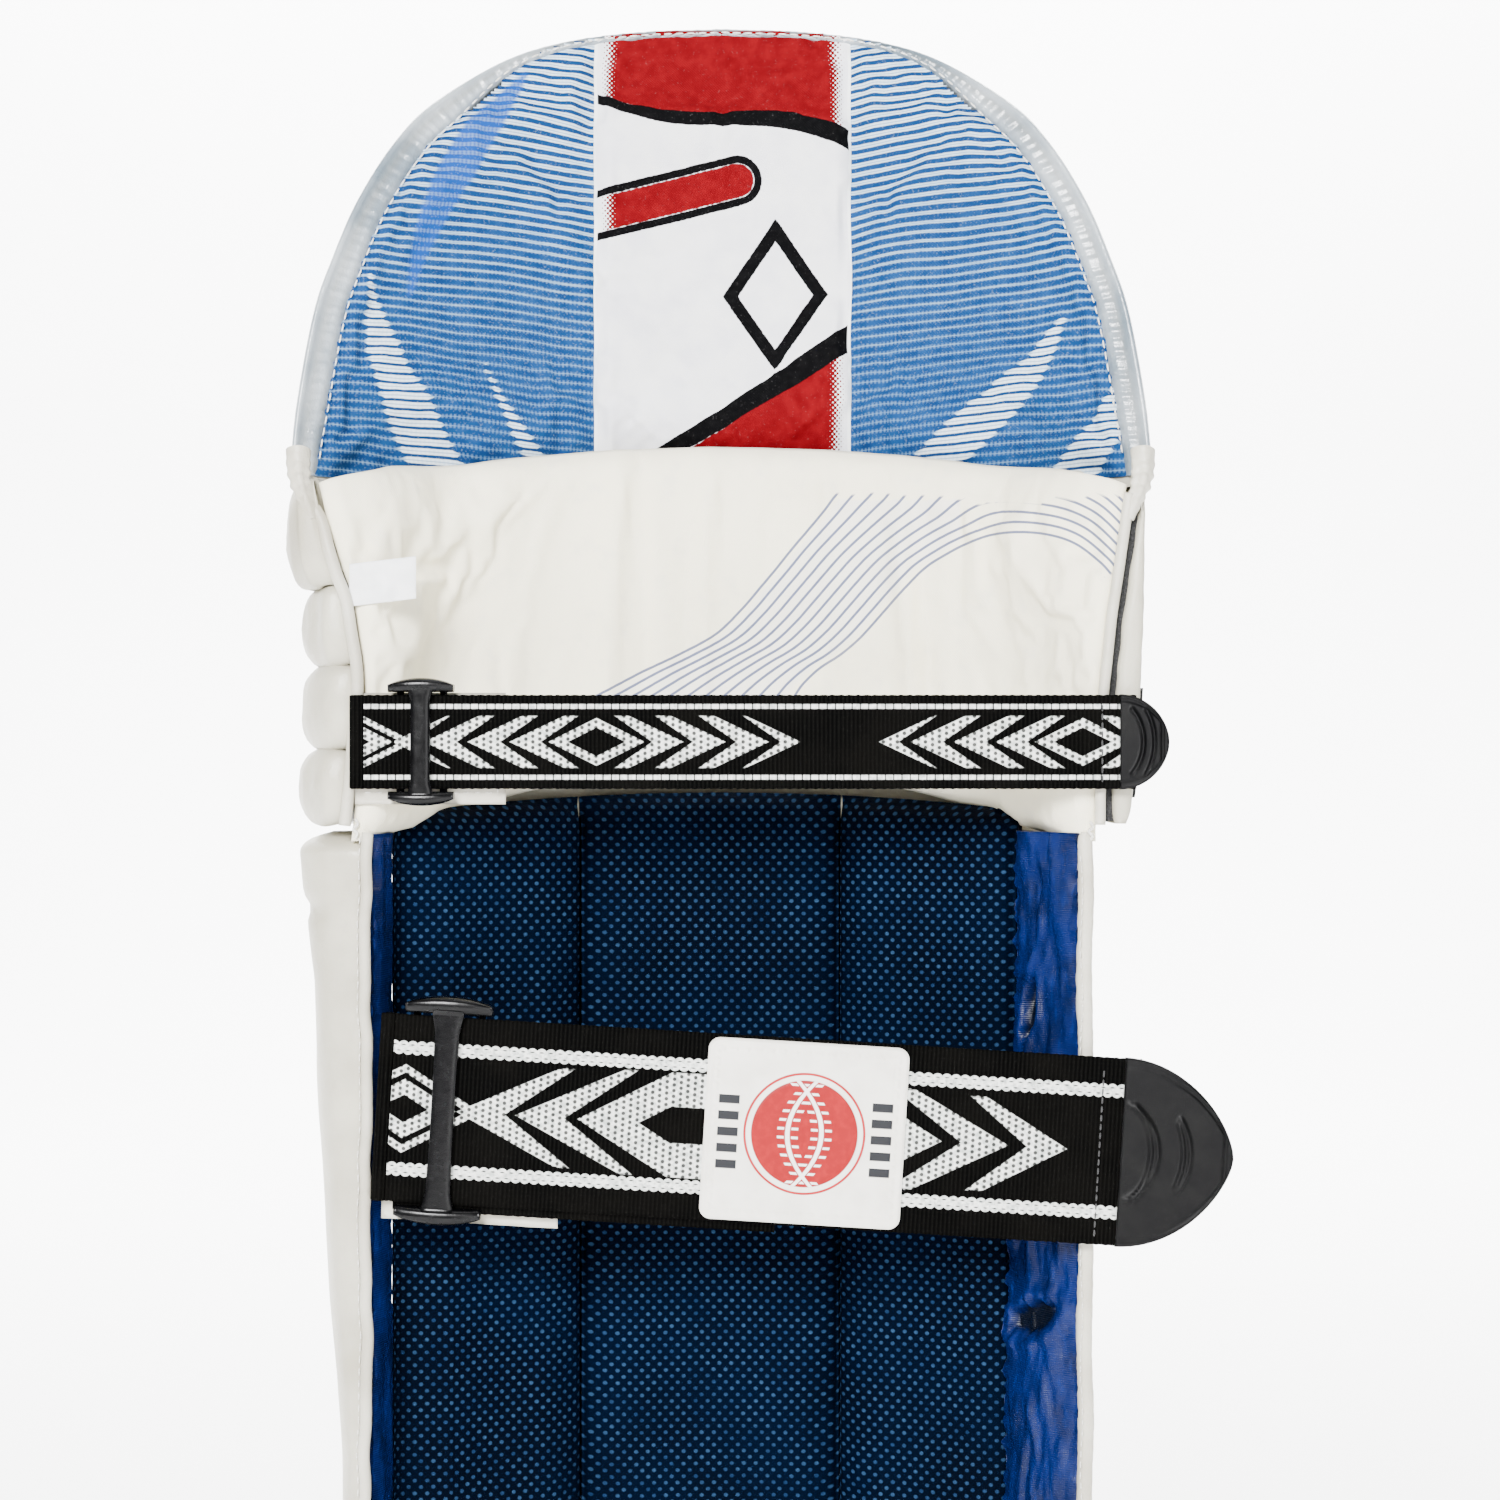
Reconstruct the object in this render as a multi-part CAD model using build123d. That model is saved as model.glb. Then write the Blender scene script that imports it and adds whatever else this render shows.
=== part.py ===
from build123d import *
import os
from math import sin, cos, radians, sqrt, atan2, degrees

# Cricket leg pad for batting, worn on the shin, knee and lower thigh.
# Frame: +Z up along the shin, +Y is the outer strike side, -Y is the open leg
# side where the straps cross, +X is to the right as seen from the leg side.
# Millimetres. The whole pad stands on its lower edge at Z = 0.

# ---------------------------------------------------------------- dimensions
OX, OY = -8.73, -41.2            # shift that puts the origin under the box centre

PAD_HEIGHT = 603.0
ARC_C = (0.0, -98.0)           # plan centre of the main body curve
R_OUT = 188.0                  # outer surface of rolls, ribs and top hat
R_ROLL_IN = 168.0              # inner surface of the knee rolls

Z_SHIN_TOP = 365.6
ROLL_Z = [(433.8, 463.4), (412.3, 433.4), (389.3, 411.9), (368.8, 388.9)]  # roll 1 (top) to 4
ROLL_A = (33.5, 31.6, 31.6, 32.0)   # half angle of each roll's front curve
Z_KNEE0, Z_KNEE1 = 368.8, 463.4
Z_HAT0 = 466.6

COVER_T = 1.3                  # polyurethane face cloth
HAT_T = 16.0                   # top hat total thickness
HAT_RIM = 4.2                  # width of the edge binding seen from behind
HAT_CENTRE = 38.0              # half width of the centre lining panel

CANE_N, CANE_STEP = 7, 8.6     # canes and their spacing in degrees
CANE_R = 4.6
CANE_AT = 176.5                # radius where the cane centres sit
CHANNEL_R = 11.2               # outside radius of a cane channel
SHIN_R1, SHIN_R0 = 166.8, 165.4
BOARD_R1, BOARD_R0 = 165.2, 160.2
CUSH_R1, CUSH_R0 = 159.9, 146.5
SHIN_L, SHIN_R = -33.4, 31.0   # the shin panel's side edges in degrees
CUSH_SPLIT = (-31.3, -15.2, 12.6, 28.6)   # cushion edges in degrees

KNEE_STRAP_W, CALF_STRAP_W = 25.5, 51.0
STRAP_T = 1.5
STRAP_Y = -5.0                 # rear face of the webbing
KNEE_STRAP_Z = 391.2
KNEE_STRAP_X = (-98.6, 108.4)
KNEE_TIP_X = 121.6
HUB_R, HUB_Y = 2.1, -2.9       # stitched loop at the sewn end of each strap
CALF_TILT = -3.5               # degrees, the calf strap slopes down to the right
CALF_X0, CALF_Z0 = -91.4, 292.2
CALF_LEN, CALF_TIP = 200.2, 230.8
HOOK_T = 1.1


def pol(r, a, c=ARC_C):
    a = radians(a)
    return (c[0] + r * sin(a), c[1] + r * cos(a))


def arc(r, a0, a1, c=ARC_C):
    return ThreePointArc(pol(r, a0, c), pol(r, (a0 + a1) / 2, c), pol(r, a1, c))


def face_of(edges):
    return make_face(edges)


def sector(r0, r1, a0, a1, c=ARC_C):
    return face_of([
        arc(r0, a0, a1, c), Line(pol(r0, a1, c), pol(r1, a1, c)),
        arc(r1, a1, a0, c), Line(pol(r1, a0, c), pol(r0, a0, c)),
    ])


def up(face, z0, z1):
    return Pos(0, 0, z0) * extrude(face, amount=z1 - z0, dir=(0, 0, 1))


def poly(points):
    return make_face(Polyline(*points, close=True))


def box(x0, x1, y0, y1, z0, z1):
    return Pos((x0 + x1) / 2, (y0 + y1) / 2, (z0 + z1) / 2) * Box(x1 - x0, y1 - y0, z1 - z0)


def prism_y(face_xz, y0, y1):
    """Extrudes a face drawn on Plane.XZ (normal -Y) between two Y values."""
    return Pos(0, y1, 0) * extrude(face_xz, amount=y1 - y0, dir=(0, -1, 0))


parts = {}
# ------------------------------------------------------------------ knee rolls
# Plan of a roll: the main arc, a corner at each side, and the left end curls
# round towards the leg side as far as the piped edge.
CORNER_C = 148.0               # radius of the corner centres from ARC_C


def mir(p):
    return (-p[0], p[1])


def roll_plan(skin, a):
    CR = pol(CORNER_C, a)
    ro, rc = R_OUT - skin, 40.0 - skin
    left_end = mir(pol(rc, 124 - skin * 1.6, CR))
    a_mid = mir(pol(rc, 78, CR))
    a_top = mir(pol(rc, a, CR))
    right_mid, right_end = pol(rc, 51, CR), pol(rc, 69 - skin * 1.6, CR)
    e = [
        ThreePointArc(left_end, a_mid, a_top),
        arc(ro, -a, a),
        ThreePointArc(pol(rc, a, CR), right_mid, right_end),
        Line(right_end, (102.5, 37.5 + skin * 1.2)),
        Line((102.5, 37.5 + skin * 1.2), pol(R_ROLL_IN, 31)),
        arc(R_ROLL_IN, 31, -30),
        Line(pol(R_ROLL_IN, -30), (-99.2, 20)),
        Line((-99.2, 20), (-104.6, 1.6 + skin * 0.8)),
        Line((-104.6, 1.6 + skin * 0.8), left_end),
    ]
    return face_of(e)


for i, (z0, z1) in enumerate(ROLL_Z, 1):
    body = up(roll_plan(0, ROLL_A[i - 1]), z0, z1)
    core = up(roll_plan(COVER_T, ROLL_A[i - 1]), z0 + COVER_T, z1 - COVER_T)
    def outer_edges(s, r0):
        found = []
        for e in s.edges():
            if e.geom_type == GeomType.CIRCLE and abs(e.center().Z - (s.bounding_box().min.Z + s.bounding_box().max.Z) / 2) > 3:
                if abs(e.radius - r0) < 0.01 or abs(e.radius - (r0 - R_OUT + 40.0)) < 0.01:
                    found.append(e)
        return found
    body = fillet(outer_edges(body, R_OUT), 7.5)
    core = fillet(outer_edges(core, R_OUT - COVER_T), 6.4)
    parts[f"knee_roll_{i}_foam"] = core
    parts[f"knee_roll_{i}_cover"] = body - core

# --------------------------------------------------------------- knee cushion
KNEE_DOME = (459.5, 477.0)                      # height of the cushion's top edge at the sides and in the middle
def cushion_plan(g):
    """Plan of the white knee cushion. g shrinks it for the foam inside its cover."""
    ro, ri = R_ROLL_IN - 0.4 - g, 154.4 + g
    lo = 2.4 + g
    return face_of([
        Line((-103.2 + g, lo), (-98.0 + g, 19.6)), Line((-98.0 + g, 19.6), pol(ro, -29.4)),
        arc(ro, -29.4, 29.4),
        Line(pol(ro, 29.4), (100.5 - g, 19.6)), Line((100.5 - g, 19.6), (106.0 - g, lo)),
        Line((106.0 - g, lo), (97.2 + g, lo)), Line((97.2 + g, lo), (91.3 + g, 17.6)),
        Line((91.3 + g, 17.6), pol(ri, 28.2)),
        arc(ri, 28.2, -28.2),
        Line(pol(ri, -28.2), (-88.8 - g, 17.6)), Line((-88.8 - g, 17.6), (-94.4 - g, lo)),
        Line((-94.4 - g, lo), (-103.2 + g, lo)),
    ])


def dome(g):
    """Cutter that gives the cushion its domed top edge, g mm lower for the foam."""
    e = [ThreePointArc((-125.0, KNEE_DOME[0] - g), (0.0, KNEE_DOME[1] - g), (125.0, KNEE_DOME[0] - g)),
         Line((125.0, KNEE_DOME[0] - g), (125.0, 340.0)), Line((125.0, 340.0), (-125.0, 340.0)),
         Line((-125.0, 340.0), (-125.0, KNEE_DOME[0] - g))]
    return extrude(Plane.XZ * face_of(e), amount=150, both=True)


cushion = up(cushion_plan(0), Z_KNEE0 + 1, KNEE_DOME[1] + 3) & dome(0)
cushion_foam = up(cushion_plan(1.0), Z_KNEE0 + 2, KNEE_DOME[1] + 3) & dome(1.0)
parts["knee_cushion_foam"] = cushion_foam
parts["knee_cushion_cover"] = cushion - cushion_foam

# right side strip of the knee section, left piping, label, guard tab, patch
parts["knee_side_strip"] = up(poly([(109.2, 0.6), (116.0, 0.6), (116.0, 30.0), (113.4, 36.4), (106.6, 36.4), (109.2, 29.0)]),
                              Z_KNEE0, Z_KNEE1)
piping = Pos(-103.6, -0.5, Z_KNEE0) * Cylinder(1.7, Z_KNEE1 - Z_KNEE0 - 22, align=(Align.CENTER, Align.CENTER, Align.MIN))
parts["knee_edge_piping"] = piping
parts["care_label"] = box(-100.5, -86.0, 1.1, 1.9, 430.5, 442.0)
parts["knee_buckle_guard"] = box(-101.4, -59.0, -0.45, 0.75, 373.4, 407.4)
parts["knee_loop_patch"] = box(116.1, 117.3, 4.0, 28.0, 376.0, 406.0)

# -------------------------------------------------------------------- top hat
HAT = [(0.0, 603.0), (24.0, 601.7), (46.4, 597.7), (65.0, 590.4), (84.1, 576.9), (95.0, 563.8),
       (104.6, 546.2), (111.2, 528.6), (115.8, 513.0), (120.0, 487.1), (121.8, Z_HAT0)]


def inset(points, d):
    """Moves the half outline inwards by d along its normal."""
    out = []
    for k, (x, z) in enumerate(points):
        x0, z0 = points[max(k - 1, 0)]
        x1, z1 = points[min(k + 1, len(points) - 1)]
        if k == 0:
            x0, z0 = -x1, z1
        tx, tz = x1 - x0, z1 - z0
        n = sqrt(tx * tx + tz * tz)
        out.append((x + tz / n * d, z - tx / n * d) if k else (0.0, z - d))
    x, z = out[-1]
    out[-1] = (x, Z_HAT0)
    return out


def hat_face(d):
    """Face of the dome on the XZ plane, inset by d, closed by its straight lower edge."""
    half = inset(HAT, d) if d else HAT
    right = [(x, z) for x, z in half]
    left = [(-x, z) for x, z in half[:0:-1]]
    pts = [(x, 0, z) for x, z in left + right]
    top = Spline(*pts)
    return make_face([top, Line(pts[-1], pts[0])])


def hat_layer(r0, r1, d):
    band = up(sector(r0, r1, -43.5, 43.5), Z_HAT0, PAD_HEIGHT + 5)
    shape = prism_y(hat_face(d), -20, 120)
    return band & shape


hat_rim_out = hat_layer(R_OUT - HAT_T - 0.5, R_OUT + 0.4, 0)
hat_rim_in = hat_layer(R_OUT - HAT_T - 2, R_OUT + 2, HAT_RIM)
parts["top_hat_binding"] = hat_rim_out - hat_rim_in
parts["top_hat_face"] = hat_layer(R_OUT - COVER_T, R_OUT, HAT_RIM + 0.05)
parts["top_hat_foam"] = hat_layer(R_OUT - HAT_T + 1.4, R_OUT - COVER_T - 0.05, HAT_RIM + 0.05)
lining = hat_layer(R_OUT - HAT_T, R_OUT - HAT_T + 1.3, HAT_RIM + 0.05)
parts["top_hat_lining_left"] = lining & box(-140, -HAT_CENTRE - 0.1, -20, 120, 460, 620)
parts["top_hat_centre_panel"] = lining & box(-HAT_CENTRE, HAT_CENTRE, -20, 120, 460, 620)
parts["top_hat_lining_right"] = lining & box(HAT_CENTRE + 0.1, 140, -20, 120, 460, 620)

# cloth strips left unpadded between the stitched sections, which act as hinges
parts["top_hat_fold_cloth"] = up(sector(176.0, 177.2, -40.0, 40.0), Z_KNEE1 + 0.1, Z_HAT0 - 0.1)
parts["knee_fold_cloth"] = up(sector(170.0, 171.2, -30.0, 28.0), Z_SHIN_TOP + 0.1, Z_KNEE0 - 0.1)

# ----------------------------------------------------------------- shin front
# Seven upright channels on one face cloth. The lower edge is arched over the
# instep, so every shin layer is cut by the same arch.
ARCH_HALF, ARCH_RISE = 56.0, 26.0
arch_r = (ARCH_HALF ** 2 + ARCH_RISE ** 2) / (2 * ARCH_RISE)


def arch_cut(extra):
    r = arch_r + extra
    cyl = Pos(0, 60, ARCH_RISE - arch_r) * Rot(90, 0, 0) * Cylinder(r, 200)
    return cyl


ARCH = arch_cut(0.0)
ARCH_WIDE = arch_cut(3.0)
FOOT_Z = 3.0                   # the binding below the layers stands on the floor

angles = [(k - (CANE_N - 1) / 2) * CANE_STEP for k in range(CANE_N)]
face = up(sector(SHIN_R0, SHIN_R1, SHIN_L, SHIN_R), FOOT_Z, Z_SHIN_TOP)
wad, canes = [], []
for a in angles:
    x, y = pol(CANE_AT, a)
    face = face + Pos(x, y, FOOT_Z) * Cylinder(CHANNEL_R, Z_SHIN_TOP - FOOT_Z, align=(Align.CENTER, Align.CENTER, Align.MIN))
for a in angles:
    x, y = pol(CANE_AT, a)
    hole = Pos(x, y, FOOT_Z - 1) * Cylinder(CHANNEL_R - 1.25, Z_SHIN_TOP - FOOT_Z + 2, align=(Align.CENTER, Align.CENTER, Align.MIN))
    face = face - hole
    sleeve = Pos(x, y, FOOT_Z) * Cylinder(CHANNEL_R - 1.35, Z_SHIN_TOP - FOOT_Z, align=(Align.CENTER, Align.CENTER, Align.MIN))
    rod = Pos(x, y, FOOT_Z + 4) * Cylinder(CANE_R, Z_SHIN_TOP - FOOT_Z - 8, align=(Align.CENTER, Align.CENTER, Align.MIN))
    sleeve = (sleeve - rod) - ARCH_WIDE
    rod = rod - arch_cut(7.0)
    wad.append(sleeve)
    canes.append(rod)
face = face - ARCH_WIDE
parts["shin_face"] = face
parts["shin_wadding"] = Compound(children=[s for s in wad])
for k, rod in enumerate(canes, 1):
    parts[f"shin_cane_{k}"] = rod
parts["shin_board"] = up(sector(BOARD_R0, BOARD_R1, SHIN_L, SHIN_R), FOOT_Z, Z_SHIN_TOP) - ARCH_WIDE
names = ("left", "centre", "right")
# far ends of the outer columns, which run on straight beside the side flaps
LEFT_TAIL = ((-92.0, 17.4), (-92.4, 32.8))
RIGHT_TAIL = ((80.6, 24.9), (84.0, 33.2))


def cushion_column(k, g):
    """Plan of a calf cushion column, shrunk by g for the foam inside its cover."""
    r0, r1 = CUSH_R0 + 1.3 * g, CUSH_R1 - 0.9 * g
    a0, a1 = CUSH_SPLIT[k] + 0.12 + 0.45 * g, CUSH_SPLIT[k + 1] - 0.12 - 0.45 * g
    if k == 0:
        a0 = CUSH_SPLIT[0]
        (x0, y0), (x1, y1) = LEFT_TAIL
        p0, p1 = (x0 + 1.2 * g, y0 + 1.6 * g), (x1 + 1.2 * g, y1 - 0.6 * g)
        return face_of([arc(r0, a0, a1), Line(pol(r0, a1), pol(r1, a1)), arc(r1, a1, a0),
                        Line(pol(r1, a0), p1), Line(p1, p0), Line(p0, pol(r0, a0))])
    if k == 2:
        a1 = CUSH_SPLIT[3]
        (x0, y0), (x1, y1) = RIGHT_TAIL
        p0, p1 = (x0 - 0.8 * g, y0 + 1.8 * g), (x1 - 1.4 * g, y1 - 0.2 * g)
        return face_of([arc(r0, a0, a1), Line(pol(r0, a1), p0), Line(p0, p1), Line(p1, pol(r1, a1)),
                        arc(r1, a1, a0), Line(pol(r1, a0), pol(r0, a0))])
    return sector(r0, r1, a0, a1)


def seam_edges(shape, k, g):
    """Vertical leg-side edges of a column at its seams with its neighbours."""
    r0 = CUSH_R0 + 1.3 * g
    at = []
    if k > 0:
        at.append(pol(r0, CUSH_SPLIT[k] + 0.12 + 0.45 * g))
    if k < 2:
        at.append(pol(r0, CUSH_SPLIT[k + 1] - 0.12 - 0.45 * g))
    return [e for e in shape.edges().filter_by(Axis.Z)
            if any(abs(e.center().X - x) < 0.1 and abs(e.center().Y - y) < 0.1 for x, y in at)]


for k, n in enumerate(names):
    top = Z_SHIN_TOP
    outer = up(cushion_column(k, 0.0), FOOT_Z + 8, top)
    inner = up(cushion_column(k, 1.0), FOOT_Z + 9.4, top - 1.4)
    # the leg-side edges of each bolster are rounded where it meets the next one
    outer = fillet(seam_edges(outer, k, 0.0), 6.5)
    inner = fillet(seam_edges(inner, k, 1.0), 5.4)
    cut = arch_cut(11.0)
    cut2 = arch_cut(12.4)
    outer, inner = outer - cut, inner - cut2
    parts[f"calf_cushion_{n}_foam"] = inner
    parts[f"calf_cushion_{n}_cover"] = outer - inner
# the binding that closes the lower edge and carries the pad's weight
rim_plan = sector(CUSH_R0 + 9, CANE_AT + CHANNEL_R - 1, SHIN_L, SHIN_R)
rim = up(rim_plan, 0, 40) - ARCH
keep = (up(rim_plan, 0, FOOT_Z - 0.05) - ARCH) + ((up(rim_plan, 0, 40) & arch_cut(2.95)) - ARCH)
parts["instep_binding"] = keep

# --------------------------------------------------------- right wing (shin)
WR = pol(141.0, 31.3)          # corner centre
WING_A = 84.0


def wing_plan(t0, t1, lead=0.0, tail=0.0):
    """Band of the right wing between two offsets from its middle line."""
    r0, r1 = 22.0 + t0, 22.0 + t1
    a0 = 31.5 + lead
    e0, e1 = pol(r0, WING_A, WR), pol(r1, WING_A, WR)
    d = (cos(radians(WING_A)), -sin(radians(WING_A)))
    n = 24.0 - tail
    f0, f1 = (e0[0] + d[0] * n, e0[1] + d[1] * n), (e1[0] + d[0] * n, e1[1] + d[1] * n)
    return face_of([
        arc(r0, a0, WING_A, WR), Line(e0, f0), Line(f0, f1), Line(f1, e1),
        arc(r1, WING_A, a0, WR), Line(pol(r1, a0, WR), pol(r0, a0, WR)),
    ])


parts["right_wing_cover"] = up(wing_plan(2.7, 4.0, 0, 3.0), 1.0, Z_SHIN_TOP)
parts["right_wing_foam"] = up(wing_plan(-2.6, 2.6, 0, 3.0), 0.0, Z_SHIN_TOP)
parts["right_wing_lining"] = up(wing_plan(-4.0, -2.7, 0, 3.0), 1.0, Z_SHIN_TOP)
full, short = wing_plan(-4.4, 4.4), wing_plan(-6, 6, 0, 2.9)
parts["right_wing_binding"] = up(full, 0.0, Z_SHIN_TOP) - up(short, -1, Z_SHIN_TOP + 1)
wx = 103.9
patch = Pos(*pol(22.0 + 4.8, WING_A, WR), 0) * Pos(0.9, -9, 0) * Rot(0, 0, -(90 - WING_A) * -1) * Box(1.1, 15, 62)
parts["calf_loop_patch"] = Pos(0, 0, 280) * patch

# ------------------------------------------------- left side bolster (shin)
BOL = [(-95.6, 40.6), (-104.0, 40.4), (-112.0, 35.6), (-117.2, 27.6), (-118.6, 18.6), (-116.6, 10.2),
       (-111.2, 3.8), (-103.6, 1.4), (-97.6, 1.6), (-95.6, 6.0), (-96.8, 18.0), (-95.2, 30.0)]
BOL_X = -94.6                  # the inner side stays on this line while the outside tapers


def bolster(z_k, grow):
    faces = []
    for z, k in z_k:
        pts = []
        cx = sum(p[0] for p in BOL) / len(BOL)
        cy = sum(p[1] for p in BOL) / len(BOL)
        for x, y in BOL:
            dx, dy = x - cx, y - cy
            n = sqrt(dx * dx + dy * dy)
            x, y = x + dx / n * grow, y + dy / n * grow
            pts.append((BOL_X + (x - BOL_X) * k, y, z))
        faces.append(make_face(Polyline(*pts, close=True)))
    return loft(faces, ruled=True)


levels = [(0.0, 0.40), (195.0, 0.43), (250.0, 0.62), (290.0, 0.72), (326.0, 0.76), (350.0, 0.90), (Z_SHIN_TOP, 0.95)]
levels_in = [(1.3, 0.40)] + levels[1:-1] + [(Z_SHIN_TOP - 1.3, 0.95)]
bol_out = bolster(levels, 0)
bol_in = bolster(levels_in, -1.3)
parts["side_bolster_foam"] = bol_in
parts["side_bolster_cover"] = bol_out - bol_in
parts["side_bolster_lining"] = up(poly([(-94.4, 3.6), (-93.0, 3.6), (-90.9, 14.6), (-91.1, 16.4), (-92.4, 16.4), (-92.2, 14.6)]), 4.0, Z_SHIN_TOP)
parts["side_bolster_piping"] = Pos(-96.4, -0.1, 4.0) * Cylinder(1.6, Z_SHIN_TOP - 4.0, align=(Align.CENTER, Align.CENTER, Align.MIN))


# --------------------------------------------------------------------- straps
def webbing(x0, x1, w, y0, t):
    return box(x0, x1, y0, y0 + t, -w / 2, w / 2)


def rounded_plate(x0, x1, w, y0, t, r):
    s = box(x0, x1, y0, y0 + t, -w / 2, w / 2)
    return fillet(s.edges().filter_by(Axis.Y), r)


def slide(x0, x1, w, bar, cap):
    """Moulded slide: two end caps, a centre bar behind the webbing seen from the
    leg side in front of it, and two outer bars on the pad side of the webbing."""
    xm = (x0 + x1) / 2
    top_y = STRAP_Y - 0.35
    under_y = STRAP_Y + STRAP_T + 0.3
    caps = []
    for s in (-1, 1):
        zc = s * (w / 2 + 0.7 + cap / 2)
        c = box(x0, x1, top_y - 2.6, under_y + 2.2, zc - cap / 2, zc + cap / 2)
        c = fillet(c.edges().filter_by(Axis.Z), 2.2)
        caps.append(c)
    half = w / 2 + 0.7
    centre = Pos(xm, top_y - 1.3, 0) * Box(bar, 2.5, 2 * half)
    centre = fillet(centre.edges().filter_by(Axis.Z), 1.0)
    low = [Pos(x, under_y + 1.05, 0) * Cylinder(1.05, 2 * half) for x in (x0 + 3.0, x1 - 3.0)]
    return caps[0] + caps[1] + centre + low[0] + low[1]


def tip(x0, x1, w, nose):
    """Rubber pull tab: a rounded tongue moulded over the end of the webbing."""
    h = w / 2
    prof = make_face([
        Line((x0, 0, -h), (x0, 0, h)),
        Spline((x0, 0, h), (x0 + (x1 - x0) * 0.45, 0, h * nose), (x1 - 0.4, 0, h * 0.30), (x1, 0, 0),
               (x1 - 0.4, 0, -h * 0.30), (x0 + (x1 - x0) * 0.45, 0, -h * nose), (x0, 0, -h)),
    ])
    s = prism_y(prof, STRAP_Y - 0.7, STRAP_Y + STRAP_T + 0.7)
    slot = box(x0 - 1, x0 + 5.0, STRAP_Y, STRAP_Y + STRAP_T, -w / 2 - 1, w / 2 + 1)
    return s - slot


def sewn_loop(x, w):
    return Pos(x, HUB_Y, 0) * Cylinder(HUB_R, w)


knee_at = Pos(0, 0, KNEE_STRAP_Z)
parts["knee_strap"] = knee_at * (webbing(KNEE_STRAP_X[0], KNEE_STRAP_X[1] + 5.0, KNEE_STRAP_W, STRAP_Y, STRAP_T)
                                 + sewn_loop(KNEE_STRAP_X[0], KNEE_STRAP_W))
parts["knee_strap_tip"] = knee_at * tip(KNEE_STRAP_X[1], KNEE_TIP_X, KNEE_STRAP_W, 0.86)
parts["knee_strap_hook_tape"] = knee_at * box(40.0, 108.0, STRAP_Y + STRAP_T, STRAP_Y + STRAP_T + HOOK_T, -10.5, 10.5)
parts["knee_slide"] = knee_at * slide(-90.0, -72.2, KNEE_STRAP_W, 5.2, 3.6)

# The calf strap is drawn along its own axis and then tilted about its sewn end.
calf_at = Pos(CALF_X0, 0, CALF_Z0) * Rot(0, -CALF_TILT, 0)
parts["calf_strap"] = calf_at * (webbing(0, CALF_LEN + 5.0, CALF_STRAP_W, STRAP_Y, STRAP_T)
                                 + sewn_loop(0, CALF_STRAP_W))
parts["calf_strap_tip"] = calf_at * tip(CALF_LEN, CALF_TIP, CALF_STRAP_W, 0.80)
parts["calf_strap_hook_tape"] = calf_at * box(112.0, 198.0, STRAP_Y + STRAP_T, STRAP_Y + STRAP_T + HOOK_T, -22.0, 22.0)
parts["calf_slide"] = calf_at * slide(4.6, 28.2, CALF_STRAP_W, 7.4, 4.6)
parts["calf_badge"] = calf_at * rounded_plate(87.2, 141.6, 49.2, STRAP_Y - 2.2, 2.15, 5.0)
parts["calf_buckle_guard"] = calf_at * box(-0.8, 47.0, -0.45, 0.75, -32.0, 29.6)

# --------------------------------------------------------------------- export
os.makedirs("parts", exist_ok=True)
for f in os.listdir("parts"):
    if f.endswith(".step"):
        os.remove(os.path.join("parts", f))
lo, hi = [1e9] * 3, [-1e9] * 3
for name, shape in parts.items():
    moved = Pos(OX, OY, 0) * shape
    solids = moved.solids()
    out = solids[0] if len(solids) == 1 else Compound(children=list(solids))
    export_step(out, f"parts/{name}.step")
    b = out.bounding_box()
    for k, (a, c) in enumerate(zip(tuple(b.min), tuple(b.max))):
        lo[k], hi[k] = min(lo[k], a), max(hi[k], c)
    print(f"{name:28s} solids {len(solids)} volume {sum(s.volume for s in solids):10.0f}")
print("box", [round(v, 3) for v in lo], [round(v, 3) for v in hi])
print("centre offset", round((lo[0] + hi[0]) / 2, 3), round((lo[1] + hi[1]) / 2, 3), "base", round(lo[2], 3))
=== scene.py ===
import bpy
import numpy as np
from math import sin, cos, radians, sqrt, pi, atan2
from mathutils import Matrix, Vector

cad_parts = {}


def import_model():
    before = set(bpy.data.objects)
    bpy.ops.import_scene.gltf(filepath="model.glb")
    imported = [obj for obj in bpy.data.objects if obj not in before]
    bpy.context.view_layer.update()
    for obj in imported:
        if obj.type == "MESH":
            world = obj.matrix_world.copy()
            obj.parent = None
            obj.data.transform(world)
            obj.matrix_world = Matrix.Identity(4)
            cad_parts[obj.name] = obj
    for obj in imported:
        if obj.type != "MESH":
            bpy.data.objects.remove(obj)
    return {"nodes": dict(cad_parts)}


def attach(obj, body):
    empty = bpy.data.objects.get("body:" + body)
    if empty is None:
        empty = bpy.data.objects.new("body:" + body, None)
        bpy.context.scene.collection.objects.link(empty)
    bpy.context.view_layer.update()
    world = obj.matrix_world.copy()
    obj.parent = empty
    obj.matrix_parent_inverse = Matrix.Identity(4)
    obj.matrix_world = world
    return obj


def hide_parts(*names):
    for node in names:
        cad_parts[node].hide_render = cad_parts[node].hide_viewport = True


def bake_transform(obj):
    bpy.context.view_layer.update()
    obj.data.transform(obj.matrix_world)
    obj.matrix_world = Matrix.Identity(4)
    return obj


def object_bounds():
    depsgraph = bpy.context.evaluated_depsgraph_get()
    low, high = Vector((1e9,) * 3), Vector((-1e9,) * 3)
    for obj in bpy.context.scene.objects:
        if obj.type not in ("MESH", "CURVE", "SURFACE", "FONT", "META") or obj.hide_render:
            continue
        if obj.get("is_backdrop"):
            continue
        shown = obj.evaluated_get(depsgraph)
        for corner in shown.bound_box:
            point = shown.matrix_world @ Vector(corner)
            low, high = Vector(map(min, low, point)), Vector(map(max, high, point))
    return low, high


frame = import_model()
CAD_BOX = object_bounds()
scene = bpy.context.scene

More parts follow.
